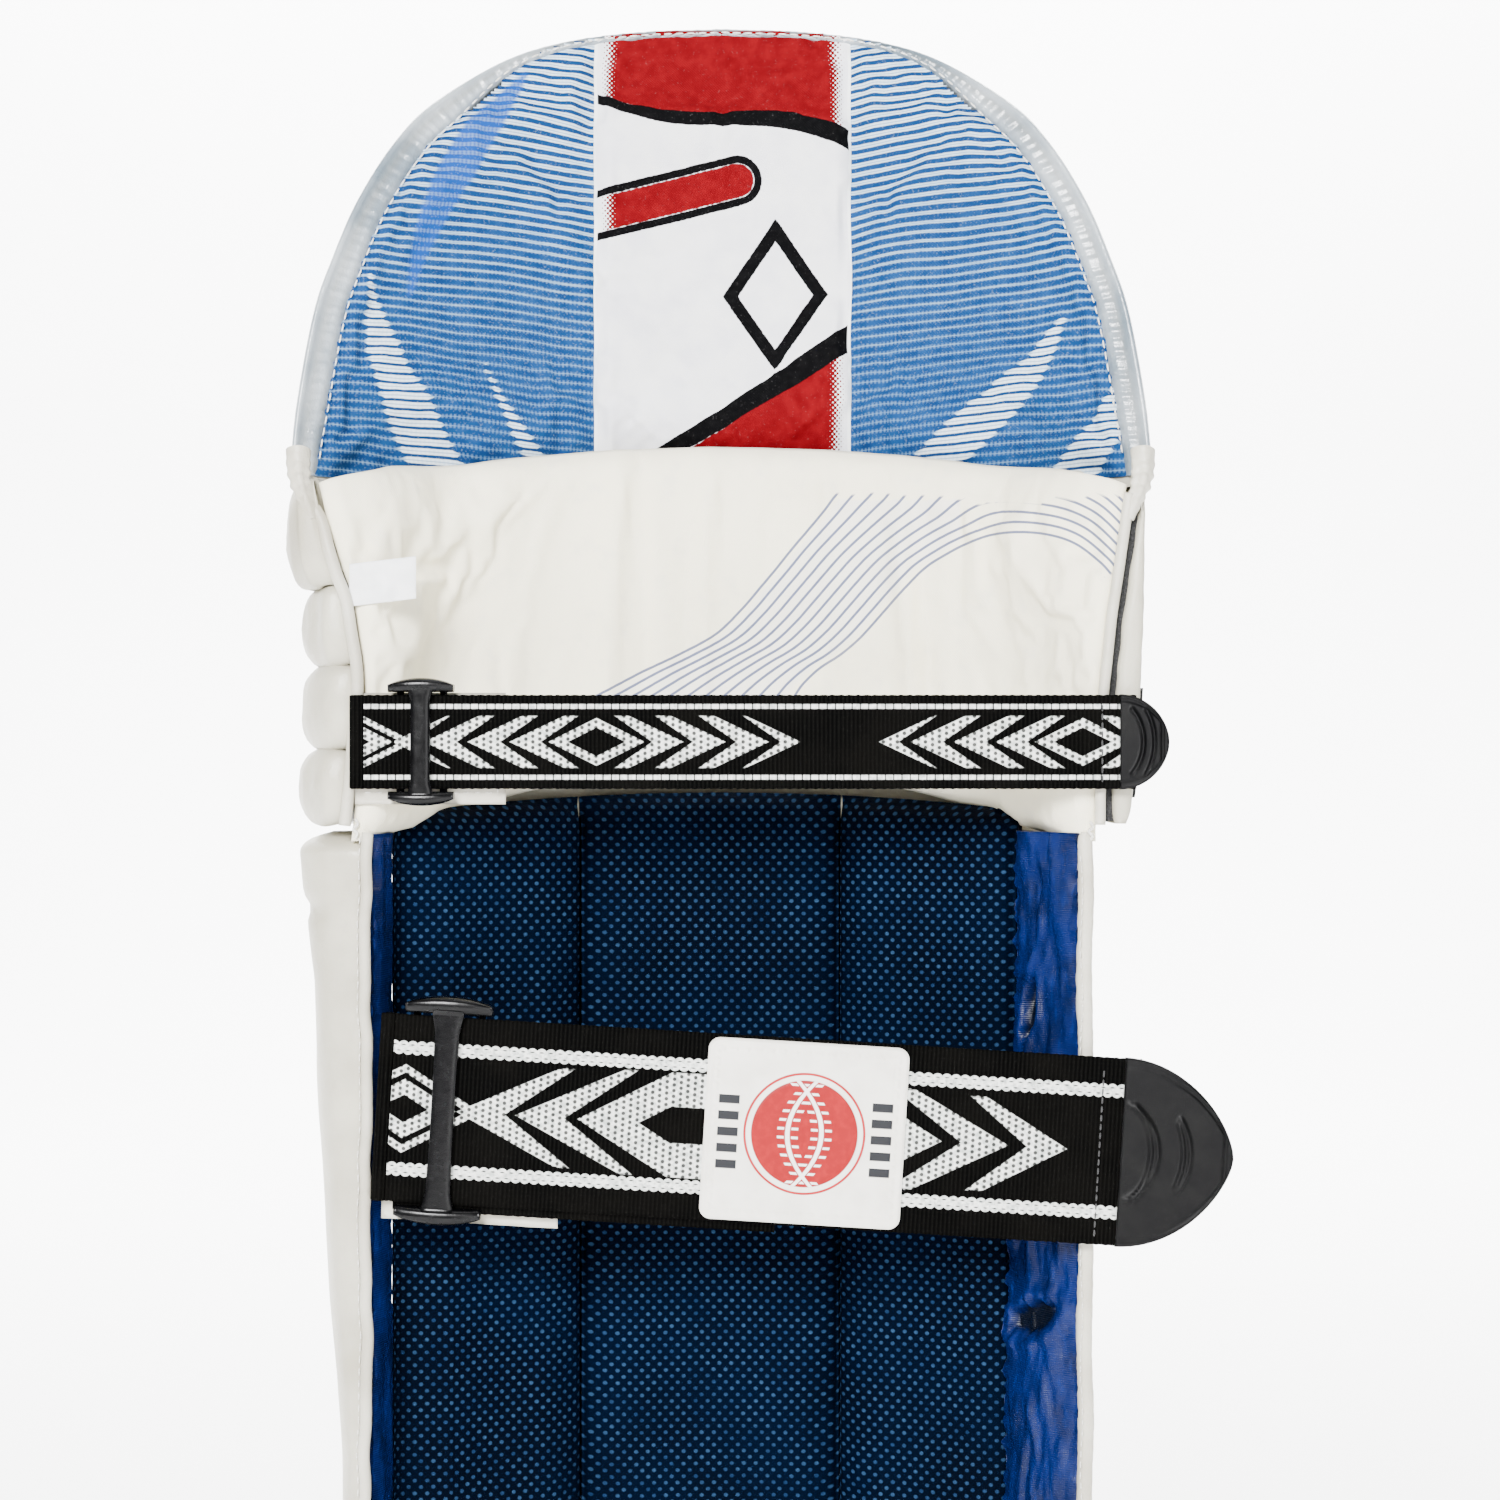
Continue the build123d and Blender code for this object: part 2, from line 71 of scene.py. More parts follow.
# ------------------------------------------------------------------ dimensions
# Plan coordinates in millimetres, as the CAD model is drawn; OX, OY move them
# into the row frame.
OX, OY = -8.73, -41.2
CX, CY = 0.0, -98.0
R_OUT = 188.0
Z_SHIN, Z_KNEE0, Z_KNEE1, Z_HAT0, Z_TOP = 365.6, 368.8, 463.4, 466.6, 603.0
ROLLS = [(433.8, 463.4, 33.5), (412.3, 433.4, 31.6), (389.3, 411.9, 31.6), (368.8, 388.9, 32.0)]
HAT = [(0.0, 603.0), (24.0, 601.7), (46.4, 597.7), (65.0, 590.4), (84.1, 576.9), (95.0, 563.8),
       (104.6, 546.2), (111.2, 528.6), (115.8, 513.0), (120.0, 487.1), (121.8, Z_HAT0)]
ARCH_HALF, ARCH_RISE = 56.0, 26.0
ARCH_R = (ARCH_HALF ** 2 + ARCH_RISE ** 2) / (2 * ARCH_RISE)
STRAP_Y = -5.0
TILT = radians(3.5)


def world(p):
    p = np.asarray(p, float)
    return (p + np.array([OX, OY, 0.0])) / 1000.0


def pol(r, deg):
    a = np.radians(deg)
    return CX + r * np.sin(a), CY + r * np.cos(a)


# ------------------------------------------------------------------ camera etc.
CAM = np.array([8.1, -855.0, 389.0])
cam_data = bpy.data.cameras.new("camera")
cam = bpy.data.objects.new("camera", cam_data)
scene.collection.objects.link(cam)
cam.location = Vector(world(CAM))
cam.rotation_euler = (radians(90), 0, 0)
cam_data.sensor_width = 36.0
cam_data.lens = 36.0 * 850.0 / (1500 * 0.271)
cam_data.clip_start = 0.05
cam_data.clip_end = 20
scene.camera = cam


def light(name, loc, size, power, target=(0, 0, 0.39), color=(1, 1, 1)):
    d = bpy.data.lights.new(name, "AREA")
    d.shape = "RECTANGLE"
    d.size, d.size_y = size
    d.energy = power
    d.color = color
    o = bpy.data.objects.new(name, d)
    scene.collection.objects.link(o)
    o.location = loc
    o.rotation_euler = (Vector(target) - Vector(loc)).to_track_quat("-Z", "Y").to_euler()
    return o


light("key", (-0.36, -1.60, 1.05), (0.55, 0.55), 100)
light("fill", (0.7, -1.7, 0.35), (0.9, 0.9), 14)
light("top", (0.1, -0.1, 1.9), (0.9, 0.7), 8)
light("back", (0.0, 1.5, 2.9), (3.4, 0.9), 950, target=(0, 3.1, 0.8))

world_data = bpy.data.worlds.new("studio")
scene.world = world_data
world_data.use_nodes = True
bg = world_data.node_tree.nodes["Background"]
bg.inputs[0].default_value = (1.0, 1.0, 1.0, 1)
bg.inputs[1].default_value = 0.30


# ------------------------------------------------------------------ node helper
class V:
    """A float socket in a node tree, with arithmetic."""

    def __init__(self, m, s):
        self.m, self.s = m, s

    def _b(self, op, o, flip=False):
        return self.m.math(op, o if flip else self, self if flip else o)

    def __add__(self, o): return self._b("ADD", o)
    def __radd__(self, o): return self._b("ADD", o)
    def __sub__(self, o): return self._b("SUBTRACT", o)
    def __rsub__(self, o): return self._b("SUBTRACT", o, True)
    def __mul__(self, o): return self._b("MULTIPLY", o)
    def __rmul__(self, o): return self._b("MULTIPLY", o)
    def __truediv__(self, o): return self._b("DIVIDE", o)
    def __neg__(self): return self * -1.0
    def abs(self): return self.m.math("ABSOLUTE", self)
    def frac(self): return self.m.math("FRACT", self)
    def floor(self): return self.m.math("FLOOR", self)
    def sin(self): return self.m.math("SINE", self)
    def sqrt(self): return self.m.math("SQRT", self)
    def min(self, o): return self.m.math("MINIMUM", self, o)
    def max(self, o): return self.m.math("MAXIMUM", self, o)
    def gt(self, o): return self.m.math("GREATER_THAN", self, o)
    def lt(self, o): return self.m.math("LESS_THAN", self, o)

    def step(self, a, b):
        """0 below a, 1 above b, smooth between (a may be above b)."""
        n = self.m.new("ShaderNodeMapRange")
        n.interpolation_type = "SMOOTHSTEP"
        if a <= b:
            lo, hi, x, y = a, b, 0.0, 1.0
        else:
            lo, hi, x, y = b, a, 1.0, 0.0
        self.m.put(n.inputs[0], self)
        for k, v in zip((1, 2, 3, 4), (lo, hi, x, y)):
            n.inputs[k].default_value = v
        return V(self.m, n.outputs[0])


class Mat:
    def __init__(self, name, rough=0.6, sheen=0.0, coat=0.0, coat_rough=0.3, spec=0.5, metallic=0.0, sss=0.0):
        self.mat = bpy.data.materials.new(name)
        self.mat.use_nodes = True
        self.t = self.mat.node_tree
        self.b = self.t.nodes["Principled BSDF"]
        i = self.b.inputs
        i["Roughness"].default_value = rough
        i["Sheen Weight"].default_value = sheen
        i["Sheen Roughness"].default_value = 0.5
        i["Coat Weight"].default_value = coat
        i["Coat Roughness"].default_value = coat_rough
        i["Specular IOR Level"].default_value = spec
        i["Metallic"].default_value = metallic
        i["Subsurface Weight"].default_value = sss
        self.cache = {}

    def new(self, kind):
        return self.t.nodes.new(kind)

    def put(self, socket, v):
        if isinstance(v, V):
            self.t.links.new(v.s, socket)
        elif isinstance(v, (int, float)):
            socket.default_value = float(v)
        elif isinstance(v, (tuple, list)):
            socket.default_value = tuple(v) if len(v) == len(socket.default_value) else tuple(v) + (1.0,)
        else:
            self.t.links.new(v, socket)

    def math(self, op, a, b=None):
        n = self.new("ShaderNodeMath")
        n.operation = op
        self.put(n.inputs[0], a)
        if b is not None:
            self.put(n.inputs[1], b)
        return V(self, n.outputs[0])

    def attr(self, name):
        if name not in self.cache:
            n = self.new("ShaderNodeAttribute")
            n.attribute_name = name
            self.cache[name] = n
        return self.cache[name]

    def f(self, name):
        return V(self, self.attr(name).outputs["Fac"])

    def vec(self, name):
        return self.attr(name).outputs["Vector"]

    def xyz(self, name):
        key = "xyz" + name
        if key not in self.cache:
            n = self.new("ShaderNodeSeparateXYZ")
            self.put(n.inputs[0], self.vec(name))
            self.cache[key] = n
        o = self.cache[key].outputs
        return V(self, o[0]), V(self, o[1]), V(self, o[2])

    def obj(self):
        """Object coordinates in millimetres, for pieces that carry no attribute."""
        if "obj" not in self.cache:
            n = self.new("ShaderNodeTexCoord")
            s = self.new("ShaderNodeVectorMath")
            s.operation = "SCALE"
            s.inputs["Scale"].default_value = 1000.0
            self.put(s.inputs[0], n.outputs["Object"])
            self.cache["obj"] = s
        return self.cache["obj"].outputs[0]

    def combine(self, x, y, z=0.0):
        n = self.new("ShaderNodeCombineXYZ")
        for k, v in enumerate((x, y, z)):
            self.put(n.inputs[k], v)
        return n.outputs[0]

    def noise(self, vec, size, detail=2.0, rough=0.5, dist=0.0):
        """Noise whose features are about size mm across."""
        n = self.new("ShaderNodeTexNoise")
        self.put(n.inputs["Vector"], vec)
        n.inputs["Scale"].default_value = 1.0 / size
        n.inputs["Detail"].default_value = detail
        n.inputs["Roughness"].default_value = rough
        n.inputs["Distortion"].default_value = dist
        return V(self, n.outputs["Fac"])

    def cells(self, vec, size, feature="F1", rand=1.0):
        n = self.new("ShaderNodeTexVoronoi")
        n.feature = feature
        self.put(n.inputs["Vector"], vec)
        n.inputs["Scale"].default_value = 1.0 / size
        n.inputs["Randomness"].default_value = rand
        return V(self, n.outputs["Distance"])

    def mix(self, f, a, b):
        n = self.new("ShaderNodeMix")
        n.data_type = "RGBA"
        self.put(n.inputs[0], f)
        self.put(n.inputs[6], a)
        self.put(n.inputs[7], b)
        return n.outputs[2]

    def color(self, c):
        self.put(self.b.inputs["Base Color"], c)

    def rough(self, v):
        self.put(self.b.inputs["Roughness"], v)

    def bump(self, *layers):
        """Each layer is (height 0..1, depth in mm)."""
        last = None
        for h, depth in layers:
            n = self.new("ShaderNodeBump")
            n.inputs["Strength"].default_value = 1.0
            n.inputs["Distance"].default_value = depth / 1000.0
            self.put(n.inputs["Height"], h)
            if last is not None:
                self.t.links.new(last, n.inputs["Normal"])
            last = n.outputs["Normal"]
        self.t.links.new(last, self.b.inputs["Normal"])
        return self


def srgb(*c):
    out = []
    for v in c:
        v = v / 255.0
        out.append(v / 12.92 if v <= 0.04045 else ((v + 0.055) / 1.055) ** 2.4)
    return tuple(out) + (1.0,)


# -------------------------------------------------------------------- meshes
rng = np.random.default_rng(7)
_waves = [(rng.normal(size=3), rng.uniform(0, 2 * pi)) for _ in range(96)]


def wob(p, size, seed=0, octaves=2, stretch=(1, 1, 1)):
    """Smooth seeded noise in -1..1 over points in mm, features about size mm."""
    p = np.asarray(p, float) / np.asarray(stretch, float)
    out, amp, tot = 0.0, 1.0, 0.0
    for o in range(octaves):
        acc = 0.0
        for k in range(7):
            d, ph = _waves[(seed * 13 + o * 7 + k * 3) % 96]
            d = d / np.linalg.norm(d)
            f = (1.0 + 0.23 * k) * 2 * pi / (size * 2.0)
            acc = acc + np.sin(p @ d * f + ph + 1.7 * np.sin(p @ np.roll(d, 1) * f * 0.7 + ph * 2))
        out = out + amp * acc / 3.2
        tot += amp
        amp *= 0.5
        size *= 0.5
    return np.clip(out / tot, -1.2, 1.2)


def bell(x, c, w):
    return np.exp(-((np.asarray(x) - c) / w) ** 2)


def smooth(x, a, b):
    t = np.clip((np.asarray(x, float) - a) / (b - a), 0, 1)
    return t * t * (3 - 2 * t)


def quads(nu, nv, wu=False, wv=False):
    iu = np.arange(nu if wu else nu - 1)
    iv = np.arange(nv if wv else nv - 1)
    U, W = np.meshgrid(iu, iv, indexing="ij")
    U, W = U.ravel(), W.ravel()
    U1, W1 = (U + 1) % nu, (W + 1) % nv
    return np.stack([U * nv + W, U1 * nv + W, U1 * nv + W1, U * nv + W1], 1)


def mk(name, verts, faces, body, mat, node=None, pat=None, attrs=None, flat=False, blend=None, caps=()):
    verts = np.asarray(verts, float).reshape(-1, 3)
    me = bpy.data.meshes.new(name)
    fl = [list(map(int, f)) for f in faces] + [list(map(int, c)) for c in caps]
    me.from_pydata(world(verts).tolist(), [], fl)
    me.update()
    a = me.attributes.new("rest", "FLOAT_VECTOR", "POINT")
    a.data.foreach_set("vector", verts.astype(np.float32).ravel())
    if pat is not None:
        pat = np.asarray(pat, float).reshape(len(verts), -1)
        if pat.shape[1] == 2:
            pat = np.hstack([pat, np.zeros((len(verts), 1))])
        a = me.attributes.new("pat", "FLOAT_VECTOR", "POINT")
        a.data.foreach_set("vector", pat.astype(np.float32).ravel())
    for k, v in (attrs or {}).items():
        a = me.attributes.new(k, "FLOAT", "POINT")
        a.data.foreach_set("value", np.asarray(v, np.float32).ravel())
    if not flat:
        me.polygons.foreach_set("use_smooth", [True] * len(me.polygons))
    o = bpy.data.objects.new(name, me)
    scene.collection.objects.link(o)
    for m in (mat if isinstance(mat, (list, tuple)) else [mat]):
        me.materials.append(m.mat if isinstance(m, Mat) else m)
    if blend:
        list(blend)
        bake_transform(o)
    elif body:
        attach(o, body)
    if node:
        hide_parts(*([node] if isinstance(node, str) else node))
    return o


def closed_loft(loops):
    """Vertices, faces and end caps of stacked closed loops (list of n by 3)."""
    L = np.asarray(loops, float)
    m, n = L.shape[:2]
    faces = quads(m, n, wv=True)
    verts = L.reshape(-1, 3)
    c0, c1 = L[0].mean(0), L[-1].mean(0)
    verts = np.vstack([verts, c0, c1])
    i0, i1 = m * n, m * n + 1
    caps = [[i0, (k + 1) % n, k] for k in range(n)] + [[i1, (m - 1) * n + k, (m - 1) * n + (k + 1) % n] for k in range(n)]
    return verts, faces, caps


def path(points, n, closed=False):
    """Evenly spaced points on a Catmull-Rom curve through the given ones."""
    P = np.asarray(points, float)
    if closed:
        P = np.vstack([P[-1], P, P[0], P[1]])
    else:
        P = np.vstack([2 * P[0] - P[1], P, 2 * P[-1] - P[-2]])
    out = []
    for i in range(1, len(P) - 2):
        p0, p1, p2, p3 = P[i - 1], P[i], P[i + 1], P[i + 2]
        t = np.linspace(0, 1, 24, endpoint=False)[:, None]
        out.append(0.5 * ((2 * p1) + (-p0 + p2) * t + (2 * p0 - 5 * p1 + 4 * p2 - p3) * t ** 2 + (-p0 + 3 * p1 - 3 * p2 + p3) * t ** 3))
    C = np.vstack(out + [P[-2][None]])
    s = np.concatenate([[0], np.cumsum(np.linalg.norm(np.diff(C, axis=0), axis=1))])
    q = np.linspace(0, s[-1], n, endpoint=not closed)
    return np.stack([np.interp(q, s, C[:, k]) for k in range(C.shape[1])], 1)


def tube(name, pts, radius, body, mat, sides=10, node=None, n=None, squash_y=1.0, **kw):
    """A round cord along points in mm, closed at both ends."""
    P = path(pts, n or max(8, int(len(pts) * 6)))
    T = np.gradient(P, axis=0)
    T /= np.linalg.norm(T, axis=1)[:, None]
    ref = np.array([0, 1.0, 0]) if abs(T[:, 1]).mean() < 0.7 else np.array([1.0, 0, 0])
    A = np.cross(T, ref); A /= np.linalg.norm(A, axis=1)[:, None]
    B = np.cross(T, A)
    ph = np.linspace(0, 2 * pi, sides, endpoint=False)
    R = np.full(len(P), radius) if np.isscalar(radius) else np.interp(np.linspace(0, 1, len(P)), np.linspace(0, 1, len(radius)), radius)
    L = P[:, None] + R[:, None, None] * (np.cos(ph)[None, :, None] * A[:, None] + squash_y * np.sin(ph)[None, :, None] * B[:, None])
    v, f, c = closed_loft(L)
    s = np.concatenate([[0], np.cumsum(np.linalg.norm(np.diff(P, axis=0), axis=1))])
    pat = np.stack([np.repeat(s, sides), np.tile(ph, len(P)) * radius if np.isscalar(radius) else np.tile(ph, len(P))], 1)
    pat = np.vstack([pat, [[0, 0], [s[-1], 0]]])
    return mk(name, v, f, body, mat, node=node, pat=pat, caps=c, **kw)


def stitches(name, P, N, body, mat, pitch=3.2, length=2.3, r=0.28, lift=0.05, **kw):
    """Thread stitches lying along points P (mm) on a surface whose normals are N."""
    P, N = np.asarray(P, float), np.asarray(N, float)
    s = np.concatenate([[0], np.cumsum(np.linalg.norm(np.diff(P, axis=0), axis=1))])
    V_, F_ = [], []
    prof = [(-0.5, 0.15, -0.25), (-0.36, 0.8, 0.1), (0.0, 1.0, 0.35), (0.36, 0.8, 0.1), (0.5, 0.15, -0.25)]
    count = int(s[-1] / pitch)
    for k in range(count):
        q = (k + 0.5) * pitch
        c = np.array([np.interp(q, s, P[:, j]) for j in range(3)])
        nn = np.array([np.interp(q, s, N[:, j]) for j in range(3)]); nn /= np.linalg.norm(nn)
        d = np.array([np.interp(min(q + 0.6, s[-1]), s, P[:, j]) - np.interp(max(q - 0.6, 0), s, P[:, j]) for j in range(3)])
        d /= np.linalg.norm(d)
        b = np.cross(d, nn)
        base = len(V_)
        for (t, rr, h) in prof:
            for a in range(6):
                ph = a * pi / 3
                V_.append(c + d * t * length + nn * (lift + h * r + rr * r * sin(ph)) + b * rr * r * cos(ph))
        for i in range(len(prof) - 1):
            for a in range(6):
                F_.append([base + i * 6 + a, base + i * 6 + (a + 1) % 6, base + (i + 1) * 6 + (a + 1) % 6, base + (i + 1) * 6 + a])
    return mk(name, V_, F_, body, mat, **kw)


# ------------------------------------------------------------------ materials
def pu(name, base, dark, rough=0.42, grain=0.12, gloss=0.0):
    """Coated face cloth: fine pebble grain, soft creases, and a darker per-point mix that is handling marks on some
    parts and painted shade in grooves, creases and rib valleys on others.
    """
    m = Mat(name, rough=rough, spec=0.45, coat=gloss, coat_rough=0.25)
    p = m.vec("rest")
    blot = m.noise(p, 26, 3)
    fine = m.noise(p, 5, 3)
    c = m.mix(blot.step(0.35, 0.75), base, dark)
    c = m.mix((fine.step(0.52, 0.82)) * 0.25, c, dark)
    # darker mix: handling marks where the attribute is random, painted shade where it follows grooves, creases and
    # valleys
    c = m.mix(m.f("dirt_and_shade"), c, srgb(120, 115, 100))
    m.color(c)
    m.rough(fine * 0.18 + (rough - 0.09))
    m.bump((m.noise(p, 11, 3), 0.35), (m.cells(p, 0.75).step(0.0, 0.65), grain * 0.35), (m.noise(p, 1.6, 2), 0.10))
    return m


M_PU = pu("cream_pu", srgb(190, 186, 169), srgb(166, 160, 143), gloss=0.12)
M_BIND = pu("silver_white_pu", srgb(164, 171, 176), srgb(96, 111, 122), rough=0.24, gloss=0.5)
M_PIPE = pu("piping_pu", srgb(204, 200, 186), srgb(176, 170, 154), rough=0.4)

M_THREAD = Mat("white_thread", rough=0.7, sheen=0.2)
M_THREAD.color(M_THREAD.mix(M_THREAD.noise(M_THREAD.vec("rest"), 0.5, 1).step(0.3, 0.7), srgb(235, 233, 226), srgb(196, 193, 184)))
M_THREAD.bump((M_THREAD.noise(M_THREAD.vec("rest"), 0.3, 1), 0.08))
M_THREAD_BLUE = Mat("blue_thread", rough=0.7, sheen=0.2)
M_THREAD_BLUE.color(M_THREAD_BLUE.mix(M_THREAD_BLUE.noise(M_THREAD_BLUE.vec("rest"), 0.5, 1).step(0.3, 0.7), srgb(20, 60, 150), srgb(10, 36, 100)))


M_DARK_THREAD = Mat("black_thread", rough=0.6, sheen=0.2)
M_DARK_THREAD.color(M_DARK_THREAD.mix(M_DARK_THREAD.noise(M_DARK_THREAD.vec("rest"), 0.5, 1).step(0.3, 0.7), srgb(12, 12, 13), srgb(46, 46, 48)))


def weave(m, x, z, pitch):
    """Plain weave height from two coordinates in mm."""
    a = (x * (2 * pi / pitch)).sin()
    b = (z * (2 * pi / pitch)).sin()
    return (a * b) * 0.5 + 0.5


def cotton(name, base, dark, pitch=0.9, depth=0.09):
    m = Mat(name, rough=0.85, sheen=0.15, spec=0.25)
    p = m.vec("rest")
    u, v, _ = m.xyz("pat")
    return m, p, u, v


# printed stripes on the thigh flap's lining
def stripe_lining():
    m = Mat("striped_lining", rough=0.82, sheen=0.0, spec=0.08)
    p = m.vec("rest")
    x, z, h = m.xyz("pat")
    w = m.noise(p, 30, 2)
    ph = (h * (1 / 2.55) + w * 0.5).frac()
    tri = (ph - 0.5).abs() * 2.0                       # 0 in the middle of a stripe
    jag = m.noise(m.combine(x, z * 3.0), 1.6, 2) * 0.22
    duty = m.f("duty")
    band = duty - (tri + jag - 0.11)
    blue = band.step(-0.10, 0.12)
    mid = m.mix(m.noise(p, 4, 3).step(0.3, 0.75), srgb(8, 44, 90), srgb(20, 60, 108))
    light = m.mix(m.noise(p, 7, 2).step(0.3, 0.7), srgb(118, 148, 172), srgb(150, 174, 190))
    pale = srgb(212, 224, 232)
    ground = m.mix(m.f("white"), light, pale)
    line = m.mix(m.f("white"), mid, srgb(14, 46, 88))
    c = m.mix(blue, ground, line)
    fine = ((h * (1 / 2.55) + w * 0.5 + 0.5).frac() - 0.5).abs() * 2.0
    c = m.mix((0.16 - fine).step(0.0, 0.08) * 0.55, c, srgb(32, 78, 128))
    c = m.mix(m.f("solid") * 0.9, c, srgb(10, 62, 138))
    speck = m.noise(p, 0.7, 2)
    tick = ((x * (2 * pi / 1.1)).sin() * 0.5 + 0.5) * (fine.step(0.7, 0.2))
    c = m.mix(tick * 0.30, c, srgb(120, 162, 200))
    c = m.mix(speck.step(0.55, 0.8) * 0.12, c, srgb(180, 204, 222))
    m.color(c)
    m.bump((m.noise(p, 14, 2), 0.5), (weave(m, x, z, 0.8), 0.06), (blue, 0.05))
    return m


M_STRIPE = stripe_lining()


# white centre panel with plain red and black printed shapes
def centre_print():
    m = Mat("centre_print", rough=0.85, sheen=0.0, spec=0.06)
    p = m.vec("rest")
    x, z, _ = m.xyz("pat")
    cloth = m.mix(m.noise(p, 9, 3).step(0.35, 0.7), srgb(232, 232, 234), srgb(220, 220, 226))
    fuzz = (m.noise(p, 1.1, 2) - 0.5) * 0.7
    red_d = m.f("red") + fuzz
    blk_d = m.f("black") + fuzz * 0.6
    # halftone fade towards the two edges of the panel
    edge = 36.2 - x.abs()
    dots = ((x * (2 * pi / 1.5)).sin() * (z * (2 * pi / 1.5)).sin()) * 0.5 + 0.5
    tone = edge.step(-0.5, 7.0)
    half = (tone * 1.25 - dots).step(0.0, 0.12)
    red = (0.0 - red_d).step(-0.15, 0.15) * half
    c = m.mix(red, cloth, m.mix(m.noise(p, 3, 3).step(0.3, 0.8), srgb(92, 0, 8), srgb(108, 4, 14)))
    c = m.mix((0.0 - blk_d).step(-0.12, 0.12), c, m.mix(m.noise(p, 2, 2).step(0.4, 0.8), srgb(2, 2, 3), srgb(8, 8, 9)))
    speck = m.noise(p, 0.8, 2)
    c = m.mix(speck.step(0.62, 0.84) * 0.05, c, srgb(200, 196, 196))
    c = m.mix((x.abs() - 36.6).step(0.0, 0.3), c, srgb(238, 240, 240))
    m.color(c)
    m.bump((m.noise(p, 16, 2), 0.4), (weave(m, x, z, 0.8), 0.06))
    return m


M_CENTRE = centre_print()


def knee_cotton():
    m = Mat("cream_cotton", rough=0.88, sheen=0.08, spec=0.12, sss=0.0)
    p = m.vec("rest")
    u, v, _ = m.xyz("pat")
    base = m.mix(m.noise(p, 34, 3).step(0.3, 0.75), srgb(255, 249, 224), srgb(249, 242, 217))
    base = m.mix(m.noise(p, 6, 3).step(0.5, 0.8) * 0.3, base, srgb(222, 218, 208))
    base = m.mix(m.f("swirl_fill") * 0.4, base, srgb(222, 224, 240))
    q = (m.f("swirl") + 0.5).frac()
    d = (q - 0.5).abs() * m.f("swirl_gap")
    line = (0.36 - d).step(-0.08, 0.10) * m.f("swirl_on")
    base = m.mix(line * 0.92, base, srgb(62, 76, 116))
    # darkening from the per-point attribute: painted shade along the tucked top and bottom edges, plus random handling
    # marks
    base = m.mix(m.f("dirt_and_shade"), base, srgb(196, 190, 176))
    m.color(base)
    m.bump((m.noise(m.combine(u, v * 0.35), 9, 3), 0.45), (weave(m, u, v, 0.75), 0.07))
    return m


M_KNEE = knee_cotton()


def spacer_mesh():
    m = Mat("spacer_mesh", rough=0.8, sheen=0.0, spec=0.02)
    p = m.vec("rest")
    u, v, _ = m.xyz("pat")
    uw = u + (m.noise(p, 9, 1) - 0.5) * 0.5

    def lattice(ou, ov):
        a = ((uw * (1 / 3.45) + ou).frac() - 0.5) * 3.45
        b = ((v * (1 / 3.6) + ov).frac() - 0.5) * 3.6
        return (a * a * (1 / 0.62) + b * b * (1 / 0.50)).sqrt()

    d = lattice(0, 0).min(lattice(0.5, 0.5))
    dot = d.step(1.05, 0.55)
    deep = m.mix(m.noise(p, 40, 2).step(0.3, 0.75), srgb(0, 3, 12), srgb(0, 6, 22))
    thread = m.noise(m.combine(u * 1.0, v * 2.2), 0.55, 2)
    deep = m.mix(thread.step(0.45, 0.75) * 0.5, deep, srgb(0, 12, 34))
    grey = m.mix(m.noise(p, 5, 2).step(0.3, 0.7), srgb(20, 42, 72), srgb(36, 62, 92))
    fade = m.noise(p, 26, 2) * 0.5 + 0.5
    m.color(m.mix(dot * fade, deep, grey))
    m.bump((dot, 0.35), (thread, 0.12), (m.noise(p, 20, 2), 0.4))
    return m


M_MESH = spacer_mesh()


def satin(name, base, dark, lightc):
    m = Mat(name, rough=0.36, sheen=0.0, spec=0.22)
    p = m.vec("rest")
    u, v, _ = m.xyz("pat")
    c = m.mix(m.noise(p, 12, 3).step(0.3, 0.75), base, dark)
    c = m.mix(m.noise(m.combine(u * 2.0, v * 0.4), 3.0, 3).step(0.52, 0.8) * 0.5, c, lightc)
    c = m.mix(m.f("shade"), c, srgb(0, 4, 16))
    m.color(c)
    m.bump((m.noise(m.combine(u, v * 0.55), 5.5, 3), 0.7), ((v * (2 * pi / 0.6)).sin(), 0.03), (weave(m, u, v, 0.55), 0.03))
    return m


M_BLUE = satin("royal_blue_satin", srgb(0, 20, 74), srgb(0, 11, 48), srgb(2, 38, 110))


def ribs(m, u, v):
    """Height of the cross ribs of flat woven webbing."""
    r = (u * (2 * pi / 1.15)).sin() * 0.5 + 0.5
    s = (v * (2 * pi / 1.3)).sin() * 0.5 + 0.5
    return r * 0.7 + r * s * 0.3


